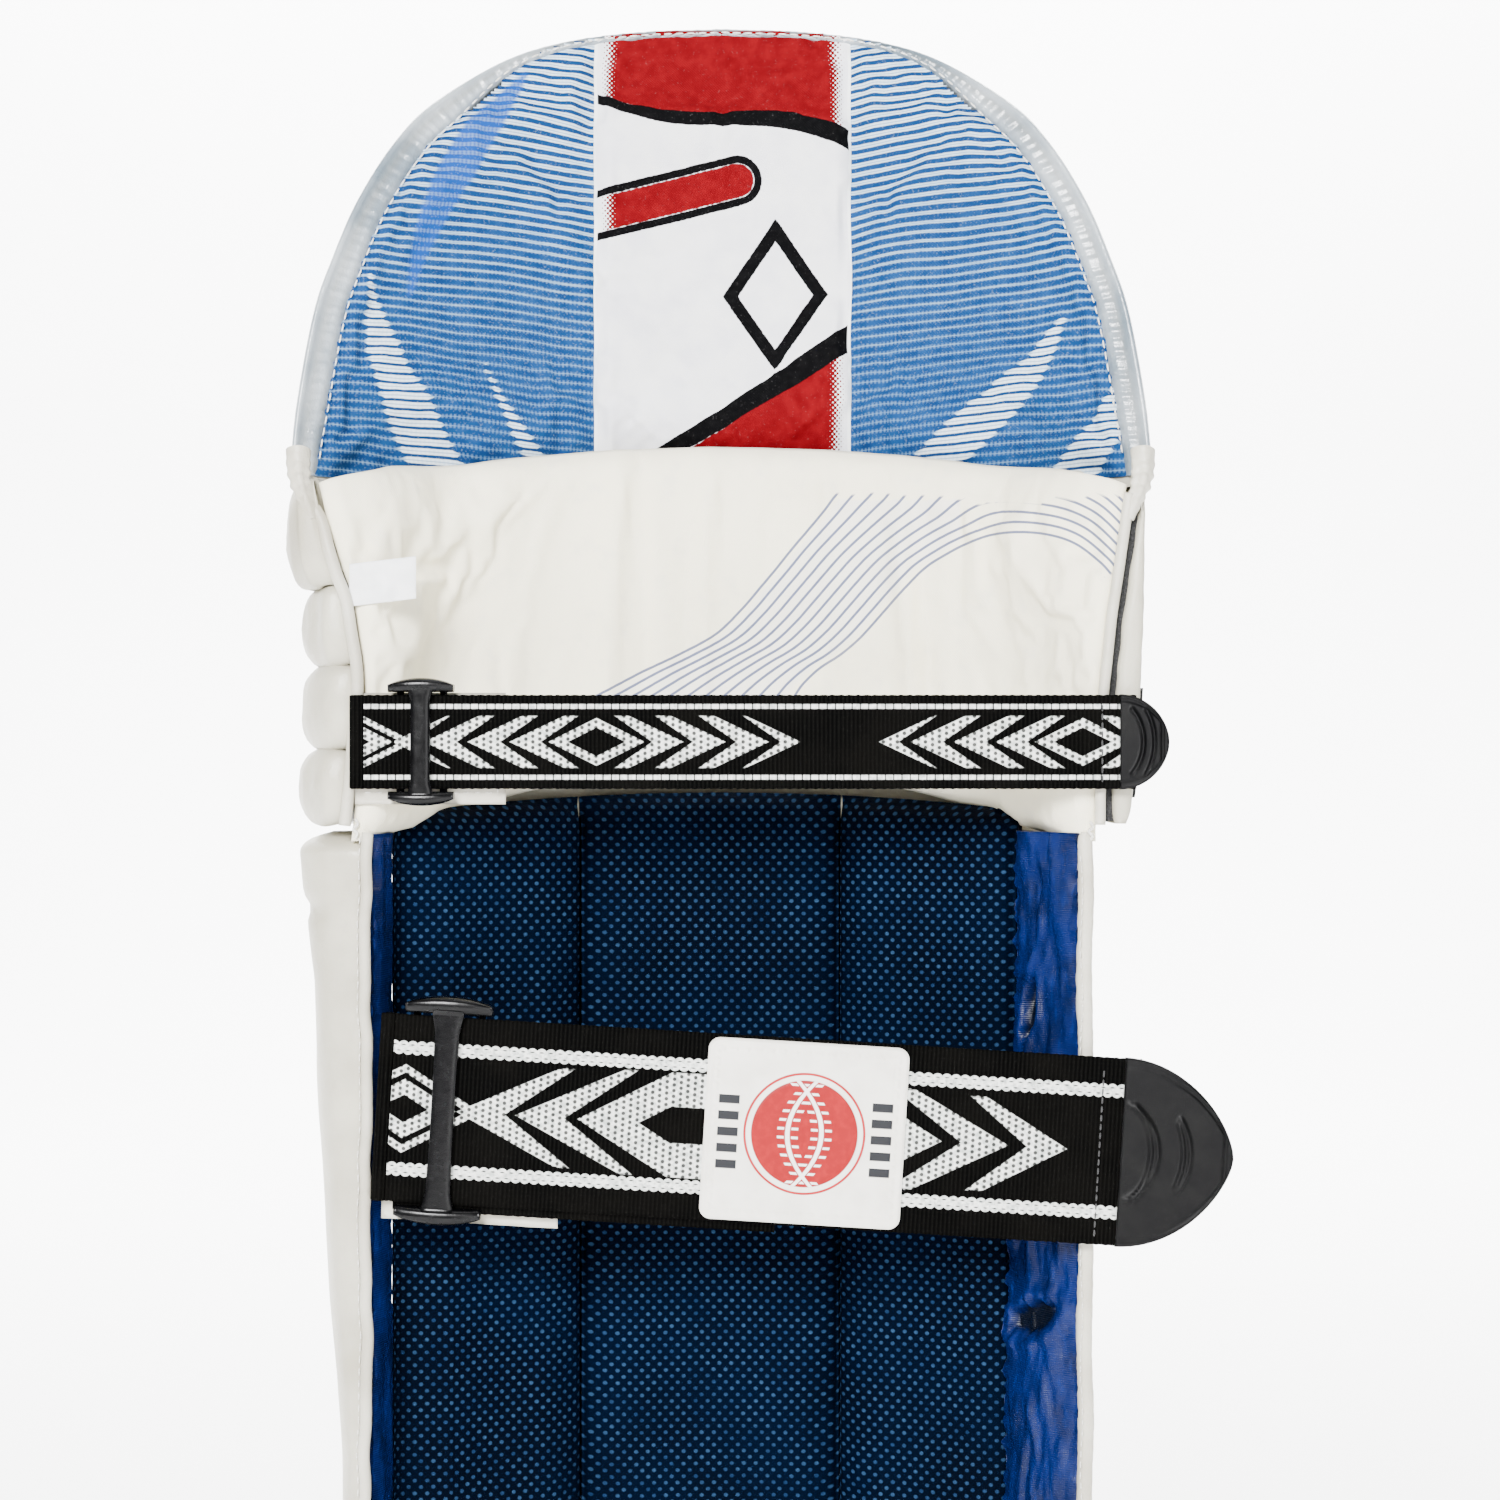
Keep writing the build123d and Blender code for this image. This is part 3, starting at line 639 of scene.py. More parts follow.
def webbing(name, kind):
    m = Mat(name, rough=0.85, sheen=0.0, spec=0.02)
    p = m.vec("rest")
    u, v, side = m.xyz("pat")          # u along from the sewn end, v across, side 1 on the front
    av = v.abs()
    if kind == "knee":
        slope, top, k0, k1 = 2.0, 7.1, -32.9, 98.9
        t1 = (u - (k0 + 98.6)).abs() + av * slope
        t2 = (u - (k1 + 98.6)).abs() + av * slope

        jag = (m.noise(m.combine(u, v * 3.0), 1.2, 1) - 0.5) * 2.0

        def group(d, reach_far):
            t = d.abs() + av * slope
            g = t.step(7.6, 8.2) * t.step(13.2, 12.6)
            for a, b in ((15.2, 23.5), (26.2, 34.9), (38.0, 46.6), (50.0, 55.2)):
                if b > reach_far:
                    break
                e = d.abs()
                g = g + (e + av * 2.1).step(b + 0.3, b - 0.3) * (e + av * 1.45).step(a - 0.3, a + 0.3) * (av + jag * 0.4).step(7.3, 6.7)
            return g
        d1 = u - (k0 + 98.6)
        d2 = u - (k1 + 98.6)
        w = group(d1, 60.0) * (u - 121.5).lt(0.0)
        w = w.max(group(d2, 60.0) * (u - 140.0).gt(0.0))
        t3 = (u + 5.0).abs() + av * slope
        w = w * (u - 11.0).gt(0.0)
        w = w.max((t3.step(9.0, 9.6) * t3.step(15.6, 15.0) + t3.step(17.6, 18.2) * t3.step(21.6, 21.0)) * (u - 13.0).lt(0.0))
        w = w * av.step(top + 0.3, top - 0.3)
        st = ((u * (1 / 2.25)).frac() - 0.5).abs() * 2.0
        edge = ((av - 9.6).abs()).step(0.75, 0.5) * st.step(0.95, 0.75)
    else:
        slope, top = 1.76, 14.2
        jag = (m.noise(m.combine(u, v * 3.0), 1.4, 1) - 0.5) * 3.0
        c2, c3 = -13.0 + 91.4, 35.5 + 91.4
        dl, dr = c2 - u, u - c3
        t = dl.max(dr).max(0.0) + av * slope
        w = t.step(8.4, 9.0) * t.step(25.4, 24.8)

        def arrow(d, a, b, so, si, reach):
            return (d + av * so).step(b + 0.3, b - 0.3) * (d + av * si).step(a - 0.3, a + 0.3) * (av + jag * 0.5).step(reach + 0.3, reach - 0.3) * d.gt(-12.0)
        left = arrow(dl, 28.8, 42.0, 2.05, 1.36, 14.0) + arrow(dl, 45.0, 58.0, 2.05, 1.36, 13.2)
        right = arrow(dr, 30.5, 43.2, 1.9, 1.4, 13.4) + arrow(dr, 48.4, 59.2, 1.76, 1.25, 12.6)
        w = w.max(left * u.gt(19.5)).max(right)
        w = w * (u - 19.5).gt(0.0)
        t1 = (u - 6.0).abs() + av * slope
        w1 = t1.step(6.4, 7.0) * t1.step(14.4, 13.8) + t1.step(17.0, 17.6) * t1.step(21.4, 20.8)
        w = w.max(w1 * (u - 28.0).lt(0.0))
        w = w * av.step(top + 0.3, top - 0.3)
        ch = ((u * (1 / 2.5)).frac() - 0.5) * 2.0
        ch2 = ((u * (1 / 2.5) + 0.5).frac() - 0.5) * 2.0
        loop1 = ((av - 15.7).abs() - (1.0 - ch * ch) * 0.62).abs()
        loop2 = ((av - 17.3).abs() - (1.0 - ch2 * ch2) * 0.62).abs()
        edge = loop1.step(0.55, 0.36).max(loop2.step(0.55, 0.36))
    # knotted look of the white yarn
    du = ((u * (1 / 1.9)).frac() - 0.5) * 1.9
    dv = ((v * (1 / 1.55) + (u * (1 / 1.9)).floor() * 0.5).frac() - 0.5) * 1.55
    hole = (du * du + dv * dv).sqrt().step(0.62, 0.40)
    yarn = w * (1.0 - hole * 0.92)
    white = (yarn.max(edge)) * side.step(0.4, 0.6)
    rb = ribs(m, u, v)
    black = m.mix(rb, srgb(1, 1, 1), srgb(9, 9, 8))
    black = m.mix(m.noise(p, 18, 2).step(0.4, 0.7) * 0.3, black, srgb(14, 13, 11))
    wc = m.mix(m.noise(p, 1.1, 2).step(0.3, 0.75), srgb(232, 233, 228), srgb(170, 175, 172))
    m.color(m.mix(white, black, wc))
    m.bump((rb, 0.16), (white, 0.14), (m.noise(p, 0.6, 2), 0.05))
    return m


M_WEB_K = webbing("knee_webbing", "knee")
M_WEB_C = webbing("calf_webbing", "calf")


def rubber(name, base, light_c, rough):
    m = Mat(name, rough=rough, spec=0.12)
    p = m.vec("rest")
    c = m.mix(m.noise(p, 7, 3).step(0.35, 0.75), base, light_c)
    m.color(c)
    m.rough(m.noise(p, 3, 3) * 0.2 + (rough - 0.1))
    m.bump((m.noise(p, 0.5, 2), 0.04), (m.noise(p, 6, 2), 0.08))
    return m


M_RUBBER = rubber("black_rubber", srgb(3, 3, 4), srgb(9, 9, 9), 0.5)


def plastic():
    m = Mat("black_plastic", rough=0.2, spec=0.2)
    p = m.vec("rest")
    m.color(m.mix(m.noise(p, 4, 3).step(0.4, 0.8), srgb(2, 2, 3), srgb(7, 7, 8)))
    m.rough(m.noise(p, 2.5, 3) * 0.22 + 0.14)
    m.bump((m.noise(p, 3, 2), 0.06), (m.noise(p, 0.4, 1), 0.012))
    return m


M_PLASTIC = plastic()


def badge_mat():
    m = Mat("badge_rubber", rough=0.5, spec=0.2)
    p = m.vec("rest")
    u, v, _ = m.xyz("pat")
    base = m.mix(m.noise(p, 8, 3).step(0.35, 0.75), srgb(238, 235, 226), srgb(226, 222, 212))
    r = (u * u + v * v).sqrt()
    ball = r.step(14.6, 14.3)
    red = m.mix(m.noise(p, 2, 2).step(0.4, 0.8), srgb(136, 2, 10), srgb(150, 8, 16))
    seam = ((u - v * v * 0.035 + 4.6).abs().min((u + v * v * 0.035 - 4.6).abs())).step(0.75, 0.45)
    tick = (((u - v * v * 0.035 + 4.6).abs().min((u + v * v * 0.035 - 4.6).abs())) - 1.9).abs().step(1.0, 0.8)
    tick = tick * ((v * (1 / 2.4)).frac() - 0.5).abs().step(0.17, 0.10)
    c = m.mix(ball, base, red)
    c = m.mix((seam.max(tick)) * ball, c, srgb(242, 240, 234))
    ring = (r - 16.2).abs().step(0.40, 0.22)
    c = m.mix(ring, c, srgb(168, 20, 30))
    side = (u.abs() - 20.8).abs().step(2.9, 2.7) * ((v - 0.6) * (1 / 4.4)).frac().step(0.42, 0.50) * v.abs().step(11.4, 11.1)
    c = m.mix(side, c, srgb(28, 29, 33))
    m.color(c)
    m.bump((ball.max(side) * 0.6 + ring, 0.25), (m.noise(p, 0.6, 2), 0.03))
    return m


M_BADGE = badge_mat()


def hook_mat():
    m = Mat("hook_tape", rough=0.9, sheen=0.3)
    p = m.obj()
    m.color(m.mix(m.noise(p, 0.8, 2).step(0.3, 0.7), srgb(5, 5, 6), srgb(22, 22, 24)))
    m.bump((m.cells(p, 0.7), 0.4), (m.noise(p, 0.4, 2), 0.2))
    return m


M_HOOK = hook_mat()


def label_mat():
    m = Mat("satin_label", rough=0.38, sheen=0.4)
    p = m.vec("rest")
    u, v, _ = m.xyz("pat")
    m.color(m.mix(m.noise(p, 6, 2).step(0.3, 0.7), srgb(246, 247, 248), srgb(232, 234, 236)))
    m.bump((weave(m, u, v, 0.5), 0.03), (m.noise(p, 5, 2), 0.15))
    return m


M_LABEL = label_mat()


# ---------------------------------------------------------------- soft pressure
def swell(verts, faces, pinned, pressure, shrink=-0.03, frames=14, cap=6.0, damping=8.0, stiff=12.0, direction=None):
    """Cloth run on a mesh in mm: returns the settled vertices, none moved past cap."""
    V0 = np.asarray(verts, float)
    me = bpy.data.meshes.new("cloth")
    me.from_pydata((V0 / 1000.0).tolist(), [], [list(map(int, f)) for f in faces])
    o = bpy.data.objects.new("cloth", me)
    scene.collection.objects.link(o)
    g = o.vertex_groups.new(name="pin")
    g.add([int(k) for k in np.nonzero(pinned)[0]], 1.0, "REPLACE")
    c = o.modifiers.new("cloth", "CLOTH")
    s = c.settings
    s.quality = 5
    s.mass = 0.2
    s.tension_stiffness = s.compression_stiffness = stiff
    s.shear_stiffness = 4.0
    s.bending_stiffness = 0.25
    s.tension_damping = s.compression_damping = damping
    s.air_damping = 6.0
    s.use_pressure = True
    s.uniform_pressure_force = pressure
    s.vertex_group_mass = "pin"
    s.shrink_min = shrink
    s.effector_weights.gravity = 0.0
    c.collision_settings.use_collision = False
    c.point_cache.frame_start, c.point_cache.frame_end = 1, frames
    for k in range(1, frames + 1):
        scene.frame_set(k)
    ev = o.evaluated_get(bpy.context.evaluated_depsgraph_get())
    out = np.empty(len(V0) * 3)
    ev.data.vertices.foreach_get("co", out)
    out = out.reshape(-1, 3) * 1000.0
    bpy.data.objects.remove(o)
    bpy.data.meshes.remove(me)
    scene.frame_set(1)
    d = out - V0
    n = np.linalg.norm(d, axis=1)
    d *= np.minimum(1.0, cap / np.maximum(n, 1e-6))[:, None]
    d[~np.isfinite(d)] = 0.0
    return V0 + d


def refine(A, k):
    """A finer grid (nu, nv, c) from a coarse one by smooth cubic interpolation."""
    A = np.asarray(A, float)

    def up(B):
        n = B.shape[0]
        P = np.concatenate([2 * B[:1] - B[1:2], B, 2 * B[-1:] - B[-2:-1]])
        out = []
        for j in range(k):
            t = j / k
            p0, p1, p2, p3 = P[:n - 1], P[1:n], P[2:n + 1], P[3:n + 2]
            out.append(0.5 * (2 * p1 + (-p0 + p2) * t + (2 * p0 - 5 * p1 + 4 * p2 - p3) * t ** 2 + (-p0 + 3 * p1 - 3 * p2 + p3) * t ** 3))
        M = np.stack(out, 1).reshape(((n - 1) * k,) + B.shape[1:])
        return np.concatenate([M, B[-1:]])
    A = up(A)
    return np.swapaxes(up(np.swapaxes(A, 0, 1)), 0, 1)


# ================================================================== thigh flap
half = path(HAT, 200)                                        # top centre down to the right foot
OUT = np.vstack([half[::-1] * [-1, 1], half[1:]])            # left foot, over the top, right foot


def hat_dist(X, Z):
    """Distance in mm to the flap's curved edge, negative outside."""
    q = np.stack([X.ravel(), Z.ravel()], 1)
    d = np.empty(len(q))
    for k in range(0, len(q), 4000):
        d[k:k + 4000] = np.sqrt(((q[k:k + 4000, None] - OUT[None]) ** 2).sum(2)).min(1)
    hw = np.interp(q[:, 1], half[::-1, 1], half[::-1, 0])
    ins = (np.abs(q[:, 0]) < hw) & (q[:, 1] < Z_TOP)
    return np.where(ins, d, -d).reshape(X.shape)


def shell(X, Z, r):
    """Points on the flap's curved shell at radius r."""
    r = np.broadcast_to(r, np.shape(X))
    return np.stack([X, CY + np.sqrt(np.maximum(r ** 2 - X ** 2, 1.0)), Z], -1)


def band(X, Z, pts, widths):
    C = path(pts, 60)
    w = np.interp(np.linspace(0, 1, 60), np.linspace(0, 1, len(widths)), widths)
    q = np.stack([X.ravel(), Z.ravel()], 1)
    d = np.sqrt(((q[:, None] - C[None]) ** 2).sum(2))
    k = d.argmin(1)
    return (1 - smooth(d[np.arange(len(q)), k] - w[k], -0.6, 0.6)).reshape(X.shape)


def rim_w(z, x):
    """Visible width of the edge binding: wide at the sides, narrow over the top."""
    return 3.4 + 7.0 * (1 - smooth(z, 575, 600)) - 1.0 * (1 - smooth(z, 468, 490))


xs = np.linspace(-122, 122, 83)
zs = np.linspace(465.2, 603.6, 48)
X, Z = np.meshgrid(xs, zs, indexing="ij")
D = hat_dist(X, Z)
W = rim_w(Z, X)
inner = np.minimum(np.minimum(D - W + 2, Z - 466.0), 99)
seam = np.minimum(np.abs(np.abs(X) - 38.0), 40)
puff = 5.4 * (1 - np.exp(-np.clip(inner, 0, 99) / 8.0)) * (1 - 0.32 * np.exp(-(seam / 4.0) ** 2))
P = shell(X, Z, 171.6 - puff)
pins = (inner < 2.0) | (seam < 1.6)
P = swell(P.reshape(-1, 3), quads(*X.shape), pins.ravel(), -2.5, shrink=-0.03, frames=12, cap=3.0).reshape(P.shape)
K = 3
P = refine(P, K)
G = refine(np.stack([X, Z, D, W], -1), K)
X, Z, D, W = (G[..., k] for k in range(4))
seam = np.abs(np.abs(X) - 38.0)
P[..., 1] += 0.55 * np.exp(-(seam / 0.9) ** 2)
edge = np.clip(D - W, 0, 99)
P[..., 1] += 0.45 * wob(P, 16, 3) * (1 - np.exp(-edge / 8)) - 0.35 * wob(P * [1, 1, 1], 6, 5) * np.exp(-edge / 7)
h = Z - 5.2 * (1 - np.exp(-np.clip(np.abs(X) - 38, 0, 99) / 36.0)) + 0.8 * wob(P, 60, 9)
low = 1 - smooth(Z, 486, 585)
duty = 0.44 + 0.50 * low + 0.08 * bell(np.abs(X), 60, 30)
white = 0.8 * smooth(Z, 520, 592) + 0.35 * smooth(np.abs(X), 88, 112) * (1 - low)
solid = band(X, Z, [(-58, 586), (-70, 568), (-79, 551), (-85, 534), (-88, 520)], [1.0, 4.6, 5.0, 3.4, 0.6])
pale = np.maximum.reduce([
    band(X, Z, [(-100, 524), (-96, 507), (-90, 490), (-80, 466)], [0.6, 4.6, 6.4, 7.0]),
    band(X, Z, [(-68, 502), (-62, 486), (-55, 474), (-50, 466)], [0.3, 1.4, 2.6, 3.0]),
    band(X, Z, [(96, 512), (86, 496), (72, 482), (54, 466)], [1.0, 5.0, 6.0, 5.0]),
    band(X, Z, [(115, 492), (108, 480), (99, 467)], [3.0, 5.5, 6.0]),
])
duty = duty * (1 - 0.62 * pale) - 0.02
white = np.clip(np.maximum(white, pale * 0.9), 0, 1)
ok = (D > W - 3.0) & (Z > 465.6)
for nm, lo, hi, mat, node in (("thigh_lining_left", -123, -38, M_STRIPE, "top_hat_lining_left"),
                              ("thigh_lining_centre", -38, 38, M_CENTRE, "top_hat_centre_panel"),
                              ("thigh_lining_right", 38, 123, M_STRIPE, "top_hat_lining_right")):
    sel = (X[:, 0] >= lo - 0.51) & (X[:, 0] <= hi + 0.51)
    i0, i1 = np.nonzero(sel)[0][[0, -1]]
    sub = (slice(i0, i1 + 1), slice(None))
    F = quads(i1 - i0 + 1, X.shape[1])
    keep = ok[sub].ravel()
    F = F[keep[F].all(1)]
    x, z = X[sub], Z[sub]
    at = {"duty": duty[sub], "white": white[sub], "solid": solid[sub]}
    pat = np.stack([x, z, h[sub]], -1)
    if nm.endswith("centre"):
        def seg(ax, az, bx, bz):
            px, pz = x - ax, z - az
            t = np.clip((px * (bx - ax) + pz * (bz - az)) / ((bx - ax) ** 2 + (bz - az) ** 2), 0, 1)
            return np.hypot(px - t * (bx - ax), pz - t * (bz - az))
        top = (574.0 - 0.20 * x + 3.0 * np.sin(x / 13.0)) - z
        cap1 = seg(-60, 540, 4, 556) - 6.0
        tri = z - (487 + 0.62 * x)
        loz = (np.abs(x - 15) / 13.0 + np.abs(z - 523) / 19.0 - 1) * 10.0
        at = {"red": np.minimum.reduce([top + 1.5, cap1 + 1.2, tri + 3.0, np.abs(z - (466 + 4))*0 + 99]),
              "black": np.minimum.reduce([np.abs(top) - 1.5 - 0.02 * (x + 38), np.abs(cap1) - 1.1, np.abs(tri) - 2.0 - 0.03 * (x + 38), np.abs(loz) - 1.7])}
    o_lin = mk(nm, P[sub], F, "top_hat", mat, node=node, pat=pat, attrs=at)

# outer face: padded, with a shallow stitched border
xs = np.linspace(-122, 122, 123)
zs = np.linspace(466.2, 603.6, 70)
X, Z = np.meshgrid(xs, zs, indexing="ij")
D = hat_dist(X, Z)
c = np.clip(D - 2.5, 0, 99)
Pf = shell(X, Z, 185.6 + 4.2 * (1 - np.exp(-c / 11.0)) - 0.9 * bell(D, 11.5, 1.0) - 1.2 * bell(Z, 468.5, 2.5))
Pf[..., 1] += 0.35 * wob(Pf, 30, 11)
F = quads(*X.shape)[:, ::-1]
F = F[(D > 0.2).ravel()[F].all(1)]
o_face = mk("thigh_face", Pf, F, "top_hat", M_PU, node=["top_hat_face", "top_hat_foam"], pat=np.stack([X, Z], -1),
   attrs={"dirt_and_shade": 0.12 * smooth(wob(Pf, 45, 2), 0.2, 1.0)})

# edge binding: a rolled strip that wraps the edge from face to lining
N = 560
O = path(OUT, N)
T = np.gradient(O, axis=0); T /= np.linalg.norm(T, axis=1)[:, None]
NI = np.stack([T[:, 1], -T[:, 0]], 1)
if (NI[N // 2] @ np.array([0, -1.0])) < 0:
    NI = -NI
s = np.concatenate([[0], np.cumsum(np.linalg.norm(np.diff(O, axis=0), axis=1))])
Wd = rim_w(O[:, 1], O[:, 0])
M = 26
ph = np.linspace(0, 2 * pi, M, endpoint=False)
ex = 2.0 / 2.9
cw = np.sign(np.cos(ph)) * np.abs(np.cos(ph)) ** ex
cr = np.sign(np.sin(ph)) * np.abs(np.sin(ph)) ** ex
loops = []
for k in range(N):
    w = Wd[k]
    ww = w * 0.5 - cw * w * 0.5                      # 0 at the edge, w inside
    r = 179.8 + 9.0 * cr
    inn = bell(ww, w, 2.2)
    ss = s[k]
    crease = 0.5 * sin(ss * 1.15 + 1.3 * sin(ss * 0.21)) * (0.6 + 0.4 * sin(ss * 0.37 + 1)) + 0.35 * sin(ss * 2.3 + 2.0 * sin(ss * 0.11))
    r = r + np.where(cr < 0, 1.3 * crease * (inn + 0.35 * bell(ww, w * 0.6, w * 0.3)), 0.3 * crease * inn)
    r = r + np.where(cr < 0, 2.0 * bell(ww, w * 0.36, max(0.5, w * 0.10)) - 0.8 * bell(ww, w * 0.14, w * 0.14) - 0.9 * bell(ww, w * 0.66, w * 0.18), 0)
    ww = ww + np.where(cr < 0, 0.5 * crease * inn, 0)
    q = O[k][None] + ww[:, None] * NI[k][None]
    loops.append(shell(q[:, 0], q[:, 1], r))
L = np.asarray(loops)
L[:, :, 2] = np.maximum(L[:, :, 2], Z_HAT0 - 0.3)
v, f, cp = closed_loft(L)
pat = np.vstack([np.stack([np.repeat(s, M), np.tile(ph * 4, N)], 1), [[0, 0], [s[-1], 0]]])
# painted shadow in the binding's groove and along its inner edge where it meets the lining
binding_groove_shade = np.where(cr < 0, 0.34 * bell(0.5 - cw * 0.5, 0.36, 0.07) + 0.30 * bell(0.5 - cw * 0.5, 0.98, 0.07), 0.0)
mk("thigh_binding", v, f, "top_hat", M_BIND, node="top_hat_binding", pat=pat, caps=cp, attrs={"dirt_and_shade": np.append(np.tile(binding_groove_shade, N), [0, 0])})
path_in = shell(*(O + (Wd[:, None] - 1.5) * NI).T, 170.6 - 0.25)
nrm = np.stack([path_in[:, 0] - CX, path_in[:, 1] - CY, 0 * s], 1)
nrm = -nrm / np.linalg.norm(nrm, axis=1)[:, None]
stitches("thigh_binding_stitch", path_in[6:-6], nrm[6:-6], "top_hat", M_THREAD, pitch=3.4, length=2.4, r=0.26, lift=0.35)
path_out = shell(*(O + 11.5 * NI).T, 188.2)
stitches("thigh_face_stitch", path_out[14:-14], -nrm[14:-14], "top_hat", M_THREAD, pitch=3.6, length=2.5, r=0.26, lift=-0.1)

# unpadded cloth folds between the sections
def fold_strip(name, r, a0, a1, z0, z1, node, lower, upper, mat, mid=-1.2):
    A = np.linspace(a0, a1, 90)
    zz = np.linspace(z0, z1, 13)
    AA, ZZ = np.meshgrid(A, zz, indexing="ij")
    t = (ZZ - z0) / (z1 - z0)
    rr = r + mid * np.sin(t * pi) + 0.25 * np.sin(AA * 3.1) * np.sin(t * pi)
    x, y = pol(rr, AA)
    v = np.stack([x, y, ZZ], -1)
    o_fold = mk(name, v, quads(*AA.shape)[:, ::-1], None, mat, node=node, pat=np.stack([AA * 3, ZZ], -1),
       attrs={"dirt_and_shade": np.full(AA.size, 0.25)},
       blend=(lower, upper, tuple(world((0, 0, z0 + 0.5))), tuple(world((0, 0, z1 - 0.5)))))


fold_strip("thigh_fold_face", 184.5, -39.5, 39.5, 459.5, 470.5, "top_hat_fold_cloth", "knee", "top_hat", M_PU)
fold_strip("thigh_fold_lining", 173.2, -43.0, 43.0, 459.5, 470.5, None, "knee", "top_hat", M_PIPE)
fold_strip("knee_fold_face", 181.5, -33.0, 33.0, 361.5, 372.5, "knee_fold_cloth", "shin", "knee", M_PU)

def left_edge(z):
    return np.interp(z, [362, 368, 378, 392, 405, 413, 430, 437, 450, 462, 470], [-101.6, -101.2, -100.0, -98.8, -97.6, -98.0, -100.8, -103.4, -107.4, -110.2, -110.6])


def right_edge(z):
    return np.interp(z, [362, 380, 402, 425, 441, 455, 463, 470], [103.0, 103.2, 103.8, 106.2, 108.6, 110.6, 111.6, 111.8])


# ================================================================== knee rolls
def roll_sections(a):
    """Outer and inner plan points of a knee roll, left end to right end."""
    crx, cry = pol(148.0, a)
    def cr(ang, r):
        return crx + r * sin(radians(ang)), cry + r * cos(radians(ang))
    outer, inner = [], []
    for ang, q in ((124, (-104.7, 1.9)), (110, (-102.6, 9.0)), (94, (-99.6, 19.0)), (76, (-96.6, 28.5)), (56, (-91.6, 38.5)), (40, (-85.2, 47.2))):
        o = cr(ang, 40.0)
        outer.append((-o[0], o[1])); inner.append(q)
    for ang in np.linspace(-a + 2, a - 2, 13):
        outer.append(pol(188.0, ang)); inner.append(pol(168.0, ang * 0.93))
    for ang, q in ((40, (87.5, 45.8)), (52, (95.0, 41.8)), (62, (101.0, 39.4)), (69, (104.5, 39.0))):
        outer.append(cr(ang, 40.0)); inner.append(q)
    return np.array(outer, float), np.array(inner, float)


for i, (z0, z1, a) in enumerate(ROLLS, 1):
    o, n_ = roll_sections(a)
    zc, hh = (z0 + z1) / 2, (z1 - z0) / 2 + 0.75
    px = left_edge(zc) - 1.6
    o = np.vstack([[(px + 0.6, 0.6), (px - 2.4, -0.7), (px - 7.0, 0.1)], o])
    n_ = np.vstack([[(px + 1.2, 4.6), (px + 0.8, 5.0), (px + 0.4, 6.0)], np.array([(min(q_[0], px + 1.0) if q_[1] < 12 else q_[0], max(q_[1], 7.0)) for q_ in n_])])
    both = path(np.hstack([o, n_]), 300)
    o, n_ = both[:, :2], both[:, 2:]
    M = 36
    ph = np.linspace(0, 2 * pi, M, endpoint=False)
    ex = 2.0 / 2.5
    cu = np.sign(np.cos(ph)) * np.abs(np.cos(ph)) ** ex
    cz = np.sign(np.sin(ph)) * np.abs(np.sin(ph)) ** ex
    n = len(o)
    s = np.concatenate([[0], np.cumsum(np.linalg.norm(np.diff(o, axis=0), axis=1))])
    e = s[-1] - s
    cap = np.sqrt(np.clip(1 - (1 - np.clip(e / 5.0, 0, 1)) ** 2, 0.02, 1))
    loops = []
    for k in range(n):
        c = (o[k] + n_[k]) / 2
        d = (o[k] - n_[k]) / 2
        hz = hh * (0.93 + 0.07 * smooth(s[k], 0, 12)) * cap[k]
        q = c[None] + d[None] * cu[:, None] * cap[k]
        z = zc + hz * cz
        sh_x = np.interp(z, [362, 368, 378, 392, 405, 413, 430, 437, 450, 462, 470], [-101.6, -101.2, -100.0, -98.8, -97.6, -98.0, -100.8, -103.4, -107.4, -110.2, -110.6]) - (px + 1.6)
        q[:, 0] += sh_x * np.exp(-s[k] / 7.0)
        loops.append(np.stack([q[:, 0], q[:, 1], z], 1))
    L = np.asarray(loops)
    nr = L - L.mean(1, keepdims=True)
    nr /= np.linalg.norm(nr, axis=2)[:, :, None]
    pk = np.exp(-s / 9.0)[:, None]                       # puckers near the piped end
    L = L + nr * (0.35 * wob(L, 14, 20 + i)[..., None] + 0.4 * (pk * wob(L, 5, 30 + i, stretch=(2.5, 2.5, 1)))[..., None])
    v, f, cp = closed_loft(L)
    pat = np.vstack([np.stack([np.repeat(s, M), np.tile(ph * 8, n)], 1), [[0, 0], [s[-1], 0]]])
    # painted shade at the top and bottom of each roll, where neighbouring rolls meet
    dirt_and_shade = np.append(0.32 * bell(np.abs(cz)[None] + 0 * s[:, None], 1.0, 0.22).ravel(), [0, 0])
    ob = mk(f"knee_roll_{i}", v, f, "knee", M_PU, node=[f"knee_roll_{i}_cover", f"knee_roll_{i}_foam"], pat=pat, caps=cp, attrs={"dirt_and_shade": dirt_and_shade})

# ================================================================ knee cushion
def cushion_top(x):
    return 461.0 + 16.5 * np.cos(np.clip(x / 112.0, -1, 1) * pi / 2) ** 0.8


def cushion_hem(x):
    ax = np.abs(x)
    return 364.0 + 14.8 * (1 - smooth(ax, 40, 104)) - 1.0 * bell(ax, 84, 10)


def plan_line(z):
    """The cushion's leg-side line in plan at height z, left piping to right piping."""
    le, re = left_edge(z), right_edge(z)
    pts = [(le + 0.4, 1.9), (le + 4.0, 1.2), (le + 8.6, 3.9), (max(-89.4, le + 13.0), 12.0)]
    pts += [pol(154.6, -30.2), pol(154.4, -25.0)]
    pts += [pol(154.4, t) for t in (-17, -8.5, 0, 8.5, 17)]
    pts += [pol(154.4, 25.0), pol(154.6, 30.6), (min(re - 13.4, 92.6), 12.5), (re - 8.6, 4.4), (re - 4.0, 1.5), (re - 0.4, 2.0)]
    return pts


